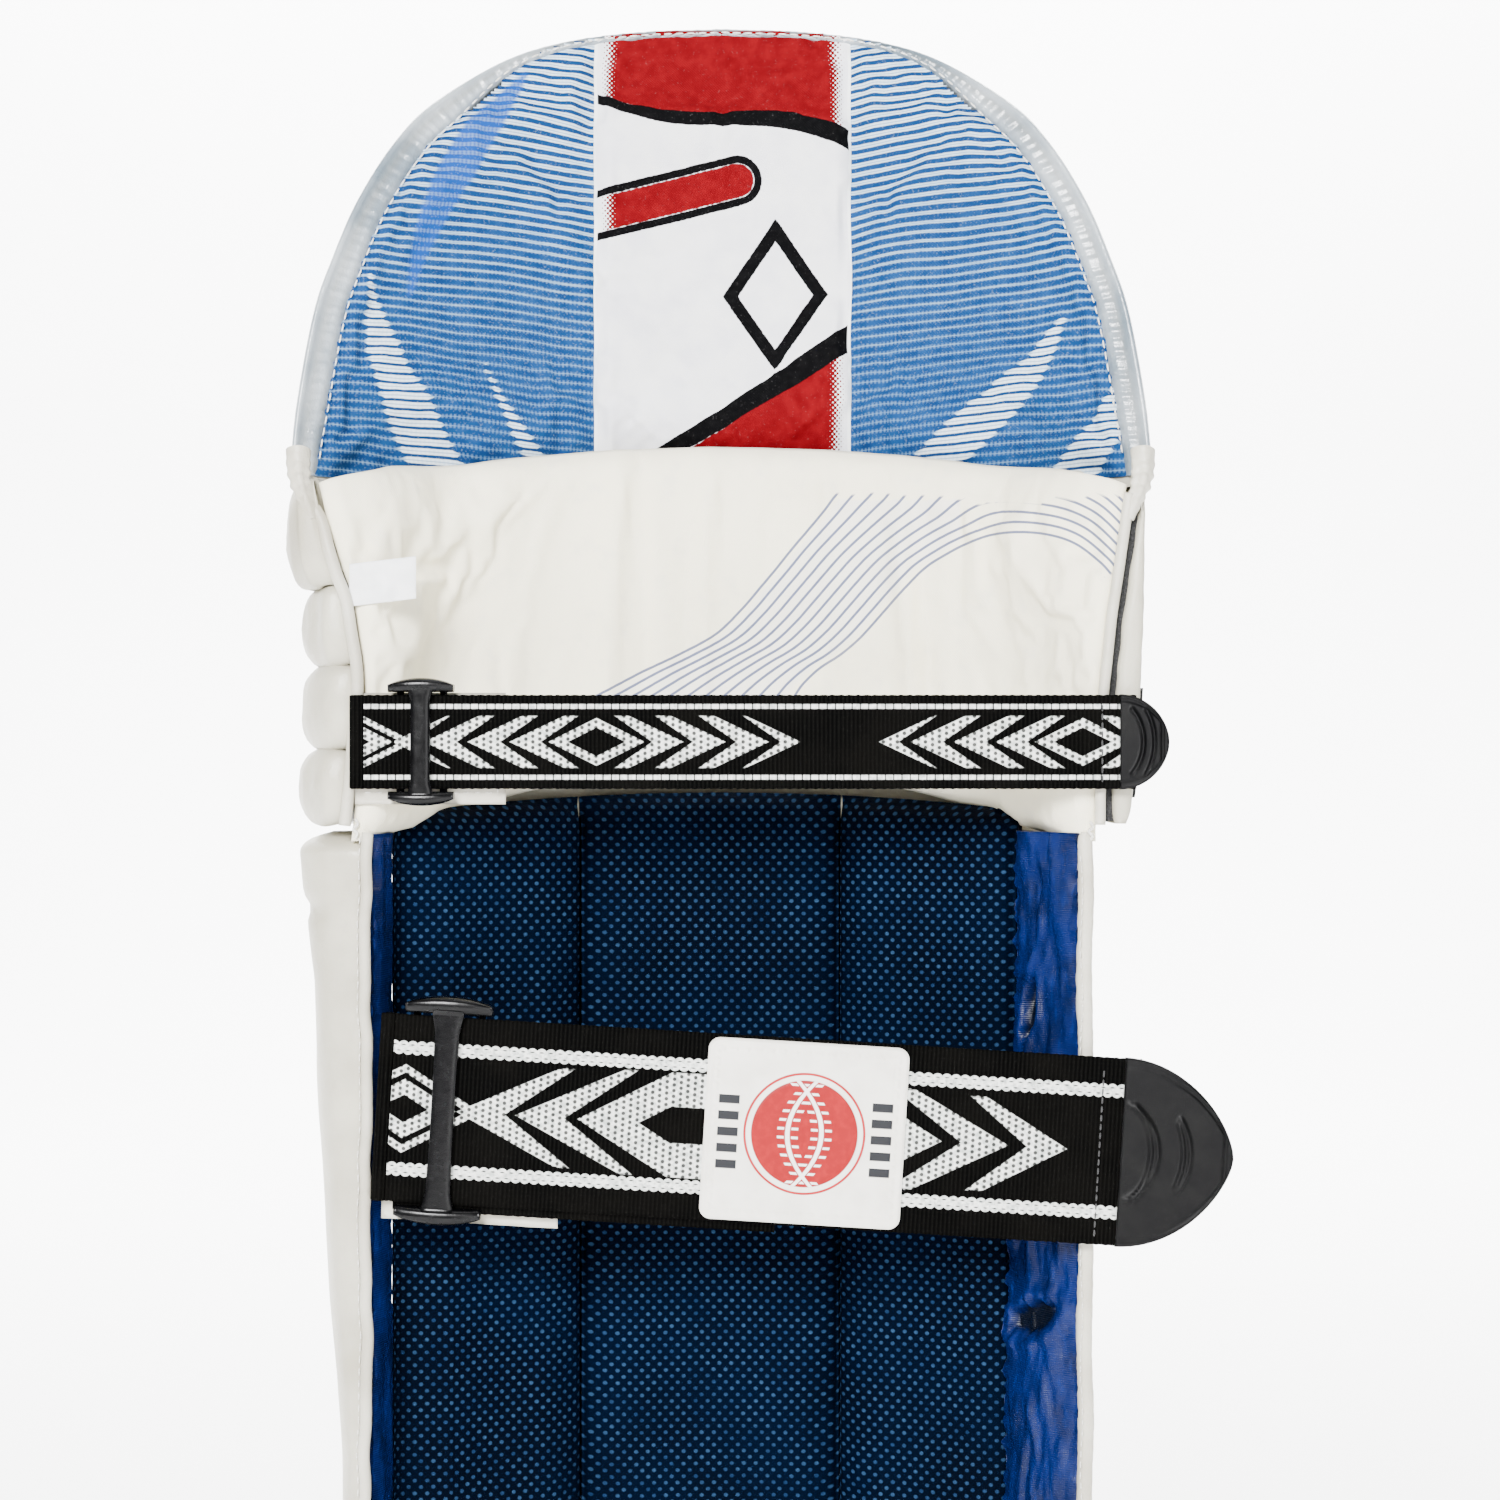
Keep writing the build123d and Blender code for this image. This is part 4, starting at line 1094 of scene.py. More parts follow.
NU, NV = 89, 37
base = np.zeros((NU, NV, 3))
for j in range(NV):
    zm = np.interp(j, [0, NV - 1], [367.0, 462.0])
    base[:, j, :2] = path(plan_line(zm), NU)
xx = base[..., 0]
tt = np.linspace(0, 1, NV)[None]
base[..., 2] = cushion_hem(xx) * (1 - tt) + cushion_top(xx) * tt
nrm2 = np.cross(np.gradient(base, axis=0), np.gradient(base, axis=1))
nrm2 /= np.linalg.norm(nrm2, axis=2)[:, :, None]
if nrm2[NU // 2, NV // 2, 1] > 0:
    nrm2 = -nrm2
ef = np.minimum(tt, 1 - tt) * 96.0
endf = 1 - smooth(np.abs(base[..., 0]), 84, 102)
base = base - nrm2 * (5.5 * np.exp(-ef / 3.2) * endf)[..., None]
folds = 0.0
for px, w, amp, lean in ((-31, 5.5, 1.5, 0.04), (-22, 3.2, -0.9, -0.05), (-5, 4.0, 1.1, 0.02), (12, 3.0, -0.7, 0.08), (33, 3.6, 0.8, -0.08), (53, 4.0, 1.3, -0.05),
                         (84, 3.5, 0.9, 0.06), (-62, 7.0, 0.7, 0.05), (-84, 3.0, 0.8, 0.02), (68, 3.0, -0.6, 0.0)):
    folds = folds + amp * bell(xx, px + lean * (base[..., 2] - 430), w) * (0.35 + 0.65 * smooth(tt, 0.0, 0.5) * (1 - 0.3 * smooth(tt, 0.75, 1.0)))
pk2 = np.minimum(np.abs(base[..., 0] + 100), np.abs(base[..., 0] - 104))
base = base + nrm2 * (1.5 * folds + 0.45 * wob(base, 22, 41, stretch=(1, 1, 3.5)) + 0.35 * np.exp(-pk2 / 14) * wob(base, 8, 42, stretch=(1, 1, 3)) * endf)[..., None]
pin = np.zeros((NU, NV), bool)
pin[:2] = pin[-2:] = True
pin[:, :2] = pin[:, -2:] = True
blown = swell(base.reshape(-1, 3), quads(NU, NV), pin.ravel(), -2.2, shrink=-0.045, frames=14, cap=3.4).reshape(base.shape)
ease = smooth(ef, 2.5, 22.0)[..., None]
base = base + (blown - base) * ease
fine = refine(base, 3)
nrm3 = np.cross(np.gradient(fine, axis=0), np.gradient(fine, axis=1))
nrm3 /= np.linalg.norm(nrm3, axis=2)[:, :, None]
if nrm3[nrm3.shape[0] // 2, nrm3.shape[1] // 2, 1] > 0:
    nrm3 = -nrm3
tf = np.linspace(0, 1, fine.shape[1])[None]
ed = np.minimum(tf, 1 - tf) * 96.0
fine = fine + nrm3 * (0.30 * wob(fine, 7, 44, stretch=(0.8, 1, 3.0)) * (0.35 + 0.5 * np.exp(-ed / 12.0)) * smooth(ed, 0.0, 3.0))[..., None]
FX, FZ = fine[..., 0], fine[..., 2]
# the printed bundle of parallel lines
def spline(points, n):
    P = np.asarray(points, float)
    T = np.gradient(P, axis=0)
    t = np.linspace(0, len(P) - 1, n)
    i = np.minimum(t.astype(int), len(P) - 2)
    f = (t - i)[:, None]
    return ((2 * f ** 3 - 3 * f ** 2 + 1) * P[i] + (f ** 3 - 2 * f ** 2 + f) * T[i] + (3 * f ** 2 - 2 * f ** 3) * P[i + 1] + (f ** 3 - f ** 2) * T[i + 1])


# first and last line, in units of 0.271 mm on the strap plane, x right and y down
LA = spline([(781, 716), (792, 700), (803, 684), (820, 668), (840, 655), (860, 638), (880, 616), (902, 591), (925, 568), (945, 555), (966, 544),
             (991, 535), (1020, 532), (1050, 535), (1076, 544), (1100, 562), (1112, 575)], 1300)
LB = spline([(560, 712), (596, 696), (640, 673), (680, 654), (716, 634), (742, 609), (760, 588), (776, 569), (792, 549), (809, 529), (824, 511),
             (842, 488), (900, 424), (1040, 425), (1120, 452), (1165, 500), (1180, 525)], 1300)
LD = LB - LA
LD2 = (LD ** 2).sum(1)
scale_p = 850.0 / 0.271 / (fine[..., 1] - CAM[1])
q = np.stack([750 + (FX - CAM[0]) * scale_p, 750 - (FZ - CAM[2]) * scale_p], -1).reshape(-1, 2)
near = np.nonzero((q[:, 0] > 540) & (q[:, 0] < 1190) & (q[:, 1] > 440) & (q[:, 1] < 740))[0]
swirl = np.full(len(q), -5.0)
gap = np.full(len(q), 2.5)
ok_q = np.zeros(len(q), bool)
dA, dB = np.gradient(LA, axis=0), np.gradient(LB, axis=0)
for k in range(0, len(near), 3000):
    ii = near[k:k + 3000]
    w0 = q[ii][:, None] - LA[None]
    t = (w0 * LD[None]).sum(2) / LD2[None]
    perp = np.abs(w0[..., 0] * LD[None, :, 1] - w0[..., 1] * LD[None, :, 0]) / np.sqrt(LD2)[None]
    cost = perp + 400.0 * np.maximum(np.abs(t - 0.5) - 0.56, 0)
    b = cost.argmin(1)
    tb = t[np.arange(len(ii)), b]
    tn = (1 - tb)[:, None] * dA[b] + tb[:, None] * dB[b]
    tn /= np.linalg.norm(tn, axis=1)[:, None]
    swirl[ii] = 11.0 * tb
    gap[ii] = np.abs(LD[b, 0] * tn[:, 1] - LD[b, 1] * tn[:, 0]) / 11.0 * 0.273
    ok_q[ii] = (cost[np.arange(len(ii)), b] < 1.5) & (b > 2) & (b < 1297)
line_no = np.clip(np.round(swirl), 0, 11).astype(int)
ends_y = np.array([0, 0, 0, 504, 499, 497, 495, 495, 494, 494, 494, 494.0])[line_no]
on = ok_q & (swirl > -0.5) & (swirl < 11.5) & (q[:, 1] > ends_y)
fill = ok_q * smooth(swirl, 0.0, 1.0) * (1 - smooth(swirl, 10.2, 11.0)) * (q[:, 1] > 500) * (q[:, 0] < 960)
xu = np.concatenate([[0], np.cumsum(np.linalg.norm(np.diff(fine[:, 60], axis=0), axis=1))])
pat = np.stack([np.broadcast_to(xu[:, None], FX.shape), FZ], -1)
# painted shade along the cushion's tucked top and bottom edges, plus random handling marks
dirt_and_shade = 0.30 * np.exp(-ed / 2.5) + 0.10 * smooth(wob(fine, 40, 47), 0.3, 1.0)
knee_pad = mk("knee_cushion", fine, quads(*FX.shape), "knee", M_KNEE, node=["knee_cushion_cover", "knee_cushion_foam"], pat=pat,
              attrs={"swirl": swirl, "swirl_gap": gap, "swirl_on": on.astype(float), "swirl_fill": fill * 0.8, "dirt_and_shade": dirt_and_shade})
mod = knee_pad.modifiers.new("thick", "SOLIDIFY")
mod.thickness = 0.007
mod.offset = -1.0

# ---------------------------------------------------------- knee edges and trim
for side, nm in ((-1, "left"), (1, "right")):
    pts = [(side * 115.6, 4.0, 471.0), (side * 115.4, 2.6, 466.0), (side * 114.6, 1.4, 461.5),
           (side * 113.0, 0.9, 457.0), (side * 111.2, 0.9, 452.0)]
    P_ = path(pts, 60)
    n_t = 60
    ph_t = np.linspace(0, 2 * pi, 20, endpoint=False)
    T_t = np.gradient(P_, axis=0); T_t /= np.linalg.norm(T_t, axis=1)[:, None]
    A_t = np.cross(T_t, np.array([0, 1.0, 0])); A_t /= np.linalg.norm(A_t, axis=1)[:, None]
    B_t = np.cross(T_t, A_t)
    q_t = np.linspace(0, 1, n_t)
    ra = np.interp(q_t, [0, 0.3, 0.6, 1.0], [3.4, 3.0, 2.3, 1.6])
    rb = np.interp(q_t, [0, 0.4, 1.0], [4.2, 3.0, 1.7])
    L = P_[:, None] + ra[:, None, None] * np.cos(ph_t)[None, :, None] * A_t[:, None] + rb[:, None, None] * np.sin(ph_t)[None, :, None] * B_t[:, None]
    fold_t = 0.45 * np.sin(ph_t * 5 + 1)[None] * bell(q_t, 0.45, 0.35)[:, None] + 0.35 * np.sin(q_t * 40)[:, None] * np.cos(ph_t * 2)[None] * bell(q_t, 0.5, 0.3)[:, None]
    nr_t = L - P_[:, None]; nr_t /= np.linalg.norm(nr_t, axis=2)[:, :, None]
    L = L + nr_t * fold_t[..., None]
    v, f, cp = closed_loft(L)
    mk(f"thigh_binding_tail_{nm}", v, f, None, M_PIPE, pat=v[:, [0, 2]], caps=cp, attrs={"dirt_and_shade": np.full(len(v), 0.1)},
       blend=("knee", "top_hat", tuple(world((0, 0, 461.0))), tuple(world((0, 0, 468.5)))))
LP = [(left_edge(z) - 1.2 + 0 * z, -0.6 + 1.6 * (z > 445), z) for z in (368.4, 376, 384, 392, 400, 406, 413, 421, 430, 437, 444, 452, 459)]
LP = [(x - (3.0 if z > 455 else 0), y + (2.0 if z > 455 else 0), z) for x, y, z in LP]
tube("knee_edge_piping_left", LP, 1.7, "knee", M_PIPE, sides=14, node="knee_edge_piping", n=90, attrs={"dirt_and_shade": np.full(90 * 14 + 2, 0.12)})
RP = [(right_edge(z) + 0.5, 0.4, z) for z in (368.6, 380, 392, 402, 414, 425, 434, 441, 450, 459)]
tube("knee_edge_piping_right", RP, 1.5, "knee", M_PIPE, sides=14, n=80, attrs={"dirt_and_shade": np.full(80 * 14 + 2, 0.1)})


def strip_x(z):
    return np.interp(z, [366, 380, 400, 430, 463], [111.6, 113.0, 114.6, 115.8, 116.2])


zs = np.linspace(368.9, 462.6, 60)
loops = []
for z in zs:
    xo = strip_x(z)
    xi = right_edge(z) + 3.9
    e = min(z - 368.9, 462.6 - z)
    k = 1 - 0.35 * np.exp(-e / 1.5)
    pts = [(xi, 2.2), (xi + 1.2, 0.7), ((xi + xo) / 2, 0.2), (xo - 1.2, 0.6), (xo, 2.0), (xo + 0.1, 14), (xo - 0.2, 26), (xo - 1.5, 33.5), (xo - 3.4, 36.4),
           (107.0, 36.4), (106.8, 34), (xi + 0.2, 28), (xi, 14)]
    c = path(pts, 48, closed=True)
    m_ = c.mean(0)
    c = m_ + (c - m_) * [k, 1.0 - 0.02 * np.exp(-e / 1.5)]
    loops.append(np.hstack([c, np.full((48, 1), z)]))
L = np.asarray(loops)
L[:, :, 0] += 0.22 * wob(L, 7, 51, stretch=(1, 1, 1.6))
L[:, :, 1] += 0.25 * wob(L, 9, 52, stretch=(1, 1, 1.6))
v, f, cp = closed_loft(L)
# the strip is darkened towards its bottom end
o = mk("knee_side_strip", v, f, "knee", M_PU, node="knee_side_strip", caps=cp, pat=np.zeros((len(v), 2)),
       attrs={"dirt_and_shade": np.append(0.15 * smooth(np.repeat(zs, 48), 395, 370), [0, 0])})
py_ = np.linspace(4.0, 28.0, 14)
pz_ = np.linspace(376.0, 406.0, 18)
PY, PZ = np.meshgrid(py_, pz_, indexing="ij")
pfront = np.stack([strip_x(PZ) + 0.9 + 0.1 * wob(np.stack([PY, PY, PZ], -1), 2, 53), PY, PZ], -1)
pback = np.stack([strip_x(PZ) - 0.4, PY, PZ], -1)
V1 = np.concatenate([pfront.reshape(-1, 3), pback.reshape(-1, 3)])
nq = PY.size
fq = quads(14, 18)
faces = [list(q_) for q_ in fq] + [list(q_[::-1] + nq) for q_ in fq]
rim = [i * 18 for i in range(14)] + [13 * 18 + j for j in range(1, 18)] + [i * 18 + 17 for i in range(12, -1, -1)] + [j for j in range(16, 0, -1)]
for i in range(len(rim)):
    j = (i + 1) % len(rim)
    faces.append([rim[i], rim[j], rim[j] + nq, rim[i] + nq])
mk("knee_loop_patch", V1, faces, "knee", M_HOOK, node="knee_loop_patch")
# dark sheet painted as the shadow in the gap between piping and strip
zz = np.linspace(369.5, 456, 24)
v = []
for z in zz:
    v += [(right_edge(z) + 0.6, 2.2, z), (right_edge(z) + 4.6, 2.6, z)]
mk("knee_gap_painted_shadow", v, quads(24, 2)[:, ::-1], "knee", M_HOOK)


def sheet_box(name, x0, x1, z0, z1, y, t, body, mat, node=None, bulge=0.5, nx=40, nz=20, tilt=0.0, edge=0.9, seed=0, slope=0.0, origin=None, wave=0.15):
    """A small flat tab with rounded edges, its front at y and its back at y+t."""
    u = np.linspace(0, 1, nx); w = np.linspace(0, 1, nz)
    U, W = np.meshgrid(u, w, indexing="ij")
    x = x0 + (x1 - x0) * U
    z = z0 + (z1 - z0) * W
    e = np.minimum(np.minimum(U * (x1 - x0), (1 - U) * (x1 - x0)), np.minimum(W * (z1 - z0), (1 - W) * (z1 - z0)))
    y1 = y + edge * t * 0.5 * np.exp(-e / 0.6) - bulge * (1 - np.exp(-e / 5.0)) + wave * wob(np.stack([x, 0 * x, z], -1), 13, 60 + seed)
    z = z + slope * (x - x0) + tilt * (U - 0.5)
    front = np.stack([x, y1, z], -1)
    back = np.stack([x, np.full_like(x, y + t) - 0.2 * bulge, z], -1)
    V1 = np.concatenate([front.reshape(-1, 3), back.reshape(-1, 3)])
    f = quads(nx, nz)
    n = nx * nz
    faces = [list(q_[::-1]) for q_ in f] + [list(q_ + n) for q_ in f]
    rim = [i * nz for i in range(nx)] + [(nx - 1) * nz + j for j in range(1, nz)] + [i * nz + nz - 1 for i in range(nx - 2, -1, -1)] + [j for j in range(nz - 2, 0, -1)]
    for a in range(len(rim)):
        b = (a + 1) % len(rim)
        faces.append([rim[a], rim[b], rim[b] + n, rim[a] + n][::-1])
    return mk(name, V1, faces, body, mat, node=node, pat=np.concatenate([np.stack([x, z], -1).reshape(-1, 2)] * 2),
              attrs={"dirt_and_shade": np.full(2 * n, 0.08), "shade": np.zeros(2 * n)}), front


# blank size label sewn over the left edge of the cushion
o_lab, lab = sheet_box("size_label", -101.2, -83.0, 429.2, 440.8, 0.0, 0.5, "knee", M_LABEL, node="care_label", bulge=0.25, wave=0.5, tilt=2.2)
# guard tab under the knee buckle, and its stitching
o_gk, gk = sheet_box("knee_guard_tab", -99.6, -58.5, 374.2, 404.6, -0.3, 1.0, "knee", M_PIPE, node="knee_buckle_guard", bulge=0.55, wave=0.35, seed=2)
g = gk
ring = np.vstack([g[2:-2, 2], g[-3, 2:-2], g[2:-2, -3][::-1], g[2, 2:-2][::-1]])
stitches("knee_guard_stitch", ring, np.tile([0, -1.0, 0], (len(ring), 1)), "knee", M_THREAD, pitch=3.0, length=2.0, r=0.22, lift=-0.05)
o_gc, gc = sheet_box("calf_guard_tab", -92.4, -44.4, 261.4, 314.0, -0.3, 1.0, "left_wing", M_PIPE, node="calf_buckle_guard", bulge=0.55, wave=0.4, seed=3, slope=-0.061)
g = gc
ring = np.vstack([g[2:-2, 2], g[-3, 2:-2], g[2:-2, -3][::-1], g[2, 2:-2][::-1]])
stitches("calf_guard_stitch", ring, np.tile([0, -1.0, 0], (len(ring), 1)), "left_wing", M_THREAD, pitch=3.0, length=2.0, r=0.22, lift=-0.05)
for nm, (x, z) in (("thread_tack_right", (101.0, 366.8)), ("thread_tack_left", (-99.5, 367.5))):
    pts = [(x, 1.2, z + 2.6), (x + 0.6, 0.4, z + 1.2), (x - 0.5, 0.3, z), (x + 0.5, 0.5, z - 1.2), (x, 1.2, z - 2.4)]
    tube(nm, pts, 0.45, "knee", M_THREAD, sides=6, n=16)

# ================================================================ calf columns
def calf_inner(a):
    return 146.5


COLS = {"left": (-31.3, -15.3), "centre": (-15.1, 12.5), "right": (12.7, 28.6)}


def arch_top(x, grow):
    """Height of the instep arch over x, grown by grow mm."""
    r = ARCH_R + grow
    zc = ARCH_RISE - ARCH_R
    x = np.asarray(x, float)
    inside = np.abs(x) < np.sqrt(max(r * r - zc * zc, 0)) if zc < 0 else np.abs(x) < r
    return np.where(np.abs(x) < r, zc + np.sqrt(np.maximum(r * r - x * x, 0)), -50.0)


NC = {"left": 40, "centre": 66, "right": 40}
for nm, (a0, a1) in COLS.items():
    n = NC[nm]
    # leg-side line from one seam to the other, then back along the board
    t = np.linspace(0, 1, n)
    A = a0 + (a1 - a0) * t
    line = np.stack(pol(146.5, A), 1)
    back = np.stack(pol(159.6, A), 1)
    if nm == "left":
        tail = path([(-92.6, 20.0), (-90.0, 25.5), tuple(line[0])], 10)[:-1]
        line = np.vstack([tail, line])
        tb = path([(-92.4, 32.5), (-89.0, 35.2), tuple(back[0])], 10)[:-1]
        back = np.vstack([tb, back])
    if nm == "right":
        tail = path([tuple(line[-1]), (77.5, 26.6), (81.0, 25.4)], 8)[1:]
        line = np.vstack([line, tail])
        tb = path([tuple(back[-1]), (80.0, 36.4), (84.0, 33.2)], 8)[1:]
        back = np.vstack([back, tb])
    m = len(line)
    seg_len = np.concatenate([[0], np.cumsum(np.linalg.norm(np.diff(line, axis=0), axis=1))])
    e = np.minimum(seg_len, seg_len[-1] - seg_len)
    el, er = seg_len, seg_len[-1] - seg_len
    soft_l = 1.0 if nm != "left" else 0.7
    soft_r = 1.0 if nm != "right" else 0.7
    dip = 9.5 * soft_l * (1 - np.sqrt(np.clip(1 - (1 - np.clip(el / 15.0, 0, 1)) ** 2, 0, 1))) + 9.5 * soft_r * (1 - np.sqrt(np.clip(1 - (1 - np.clip(er / 15.0, 0, 1)) ** 2, 0, 1)))
    dirv = back - line
    dirv /= np.linalg.norm(dirv, axis=1)[:, None]
    nz = 120
    zt = np.linspace(0, 1, nz)
    G = np.zeros((m, nz, 3))
    for k in range(m):
        x = line[k, 0]
        z0 = max(3.8, float(arch_top(x, 7.5)))
        top = 376.6 - 1.2 * (x / 80.0) ** 2 * 4
        zz = z0 + (top - z0) * zt
        G[k, :, 2] = zz
        ee = np.minimum(zz - z0, 99)
        low = 8.5 * (1 - np.sqrt(np.clip(1 - (1 - np.clip(ee / 12.0, 0, 1)) ** 2, 0, 1)))
        up = 11.0 * (1 - np.sqrt(np.clip(1 - (1 - np.clip((top - zz) / 11.0, 0, 1)) ** 2, 0, 1)))
        d_ = np.minimum(dip[k] + low + up, 12.6)
        G[k, :, 0] = line[k, 0] + dirv[k, 0] * d_
        G[k, :, 1] = line[k, 1] + dirv[k, 1] * d_
    nrm = np.cross(np.gradient(G, axis=1), np.gradient(G, axis=0))
    nrm /= np.maximum(np.linalg.norm(nrm, axis=2), 1e-6)[:, :, None]
    if nrm[m // 2, nz // 2, 1] > 0:
        nrm = -nrm
    mid = np.clip(e / 8.0, 0, 1)[:, None] * np.clip((1 - np.abs(2 * zt - 1)) * 12, 0, 1)[None]
    G = G + nrm * (mid * (0.55 * wob(G, 38, 70 + len(nm), stretch=(1, 1, 1.4)) + 0.25 * wob(G, 13, 75, stretch=(1, 1, 1.5))))[..., None]
    G = refine(G, 2)
    M_, N_ = G.shape[:2]
    su = np.interp(np.linspace(0, m - 1, M_), np.arange(m), seg_len)
    bk = np.repeat(np.stack([np.interp(np.linspace(0, m - 1, M_), np.arange(m), back[:, q_]) for q_ in (0, 1)], 1)[:, None], 2, 1)
    zb = np.stack([G[:, 0, 2] + 0.0, G[:, -1, 2]], 1)
    B = np.concatenate([bk, zb[..., None]], 2)
    V1 = np.vstack([G.reshape(-1, 3), B.reshape(-1, 3)])
    f = [list(q_[::-1]) for q_ in quads(M_, N_)]
    b0 = M_ * N_
    f += [list(q_ + b0) for q_ in quads(M_, 2)]
    for k in range(M_ - 1):
        f.append([k * N_, (k + 1) * N_, b0 + (k + 1) * 2, b0 + k * 2])
        f.append([(k + 1) * N_ + N_ - 1, k * N_ + N_ - 1, b0 + k * 2 + 1, b0 + (k + 1) * 2 + 1])
    f.append([j for j in range(N_)] + [b0 + 1, b0])
    f.append(([(M_ - 1) * N_ + j for j in range(N_)] + [b0 + (M_ - 1) * 2 + 1, b0 + (M_ - 1) * 2])[::-1])
    pat = np.stack([np.broadcast_to(su[:, None], (M_, N_)), G[..., 2]], -1).reshape(-1, 2)
    pat = np.vstack([pat, np.stack([np.repeat(su, 2), zb.ravel()], 1)])
    o = mk(f"calf_column_{nm}", V1, f, "shin", M_MESH, node=[f"calf_cushion_{nm}_cover", f"calf_cushion_{nm}_foam"], pat=pat)

# =============================================================== side bolster
BOL = [(-95.6, 40.6), (-104.0, 40.4), (-112.0, 35.6), (-117.2, 27.6), (-118.6, 18.6), (-116.6, 10.2),
       (-111.2, 3.8), (-103.6, 1.4), (-97.6, 1.6), (-95.6, 6.0), (-96.8, 18.0), (-95.2, 30.0)]
BOLK = ([0.0, 195.0, 250.0, 290.0, 326.0, 350.0, 365.6], [0.40, 0.43, 0.62, 0.72, 0.76, 0.90, 0.95])
ring0 = path(BOL, 72, closed=True)
zs = np.concatenate([np.linspace(1.0, 8, 8), np.linspace(10, 358, 150), np.linspace(359, 366.4, 9)])
loops = []
for z in zs:
    k = np.interp(z, *BOLK)
    e = min(z - 1.0, 366.4 - z)
    sh = sqrt(max(0.08, 1 - (1 - min(e / 6.0, 1)) ** 2))
    c = ring0.copy()
    c[:, 0] = -94.6 + (c[:, 0] + 94.6) * k
    m_ = c.mean(0)
    c = m_ + (c - m_) * sh
    loops.append(np.hstack([c, np.full((72, 1), z)]))
L = np.asarray(loops)
nr = L - L.mean(1, keepdims=True)
nr /= np.linalg.norm(nr, axis=2)[:, :, None]
# soft horizontal gathers along the sewn edge, long slow bulges on the outside
inner_side = np.exp(-((L[..., 0] + 97.0) / 7.0) ** 2)
L = L + nr * (0.45 * wob(L, 34, 81, stretch=(1, 1, 1.7)) + inner_side * 0.35 * wob(L, 5.5, 82, stretch=(3, 3, 1)))[..., None]
for zc in (0, 352):
    L[..., 0] += 0.8 * bell(L[..., 2], 345.5, 2.6) * smooth(-L[..., 0], 98, 112)
v, f, cp = closed_loft(L)
pat = np.vstack([np.stack([np.tile(np.arange(72) * 1.2, len(zs)), np.repeat(zs, 72)], 1), [[0, 0], [0, 366]]])
o = mk("side_bolster", v, f, "left_wing", M_PU, node=["side_bolster_cover", "side_bolster_foam"], pat=pat, caps=cp,
       attrs={"dirt_and_shade": np.append(0.12 * smooth(wob(L, 30, 83), 0.3, 1).ravel(), [0, 0])})
zz = np.linspace(3.6, 366.5, 46)
PP = [(-96.6 + 0.35 * sin(z * 0.09) + 0.25 * sin(z * 0.31), -0.2 + 0.2 * sin(z * 0.17 + 1), z) for z in zz]
tube("side_bolster_piping", PP, 1.6, "left_wing", M_PIPE, sides=14, node="side_bolster_piping", n=260, attrs={"dirt_and_shade": np.full(260 * 14 + 2, 0.1)})
PN = np.array(PP); PN[:, 0] -= 2.0; PN[:, 1] += 0.6
stitches("side_bolster_stitch", PN, np.tile([0, -1.0, 0], (len(PN), 1)), "left_wing", M_THREAD, pitch=3.3, length=2.2, r=0.22, lift=0.25)


def gathered(name, edge_a, edge_b, z0, z1, body, node, nu, nv, bulge, seed, opens=(), depth=0.9, thick=0.7):
    """Satin gathered between two plan lines (functions of z), with pleat openings."""
    u = np.linspace(0, 1, nu)
    z = np.linspace(z0, z1, nv)
    U, Zg = np.meshgrid(u, z, indexing="ij")
    A = np.array([edge_a(t) for t in z])[None]
    B = np.array([edge_b(t) for t in z])[None]
    P = A + (B - A) * U[..., None]
    W_ = np.linalg.norm(B - A, axis=2)
    nx = (B - A)[..., 1] / W_
    ny = -(B - A)[..., 0] / W_
    bul = bulge * np.sin(U * pi) ** 0.8
    rest = np.stack([U * W_, 0 * U, Zg], -1)
    g1 = wob(rest, 5.0, seed, stretch=(2.6, 1, 1)) * (np.exp(-U * W_ / 3.5) + 0.6 * np.exp(-(1 - U) * W_ / 3.0)) * depth
    g2 = wob(rest, 9, seed + 1, stretch=(1.0, 1, 5.0)) * 1.15 * depth * np.sin(U * pi) ** 0.5 + wob(rest, 26, seed + 2, stretch=(1.5, 1, 1)) * 0.7 * depth * np.sin(U * pi)
    shade = np.zeros_like(U)
    dent = np.zeros_like(U)
    for (uc, zc, wu, wz, lean) in opens:
        q = ((U - uc - lean * (Zg - zc)) / wu) ** 2 + ((Zg - zc) / wz) ** 2
        q = q + 0.35 * wob(rest, 6, seed + 4)
        q = np.maximum(q, 0)
        shade = np.maximum(shade, 1 - smooth(q, 0.5, 1.0))
        dent = np.maximum(dent, 3.4 * (1 - smooth(q, 0.35, 1.25)))
        g1 = g1 + 1.1 * np.exp(-((np.sqrt(q) - 1.45) / 0.35) ** 2)
    h = bul + g1 + g2 - dent
    X_ = P[..., 0] + nx * h
    Y_ = P[..., 1] + ny * h
    front = np.stack([X_, Y_, Zg], -1)
    back = np.stack([P[..., 0] - nx * thick, P[..., 1] - ny * thick, Zg], -1)
    n = nu * nv
    V1 = np.concatenate([front.reshape(-1, 3), back.reshape(-1, 3)])
    f = quads(nu, nv)
    faces = [list(q_) for q_ in f] + [list(q_[::-1] + n) for q_ in f]
    rim = [i * nv for i in range(nu)] + [(nu - 1) * nv + j for j in range(1, nv)] + [i * nv + nv - 1 for i in range(nu - 2, -1, -1)] + [j for j in range(nv - 2, 0, -1)]
    for a in range(len(rim)):
        b = (a + 1) % len(rim)
        faces.append([rim[a], rim[b], rim[b] + n, rim[a] + n])
    return mk(name, V1, faces, body, M_BLUE, node=node, pat=np.concatenate([np.stack([U * W_, Zg], -1).reshape(-1, 2)] * 2),
              attrs={"shade": np.concatenate([shade.ravel(), shade.ravel()])})


o_bl = gathered("side_bolster_lining", lambda t: np.array([-95.2, 1.2]), lambda t: np.array([-91.4, 17.6]), 3.8, 366.0, "left_wing", "side_bolster_lining",
         16, 360, 1.2, 90, depth=0.45)

# ================================================================= right wing
WRX, WRY = pol(141.0, 31.3)


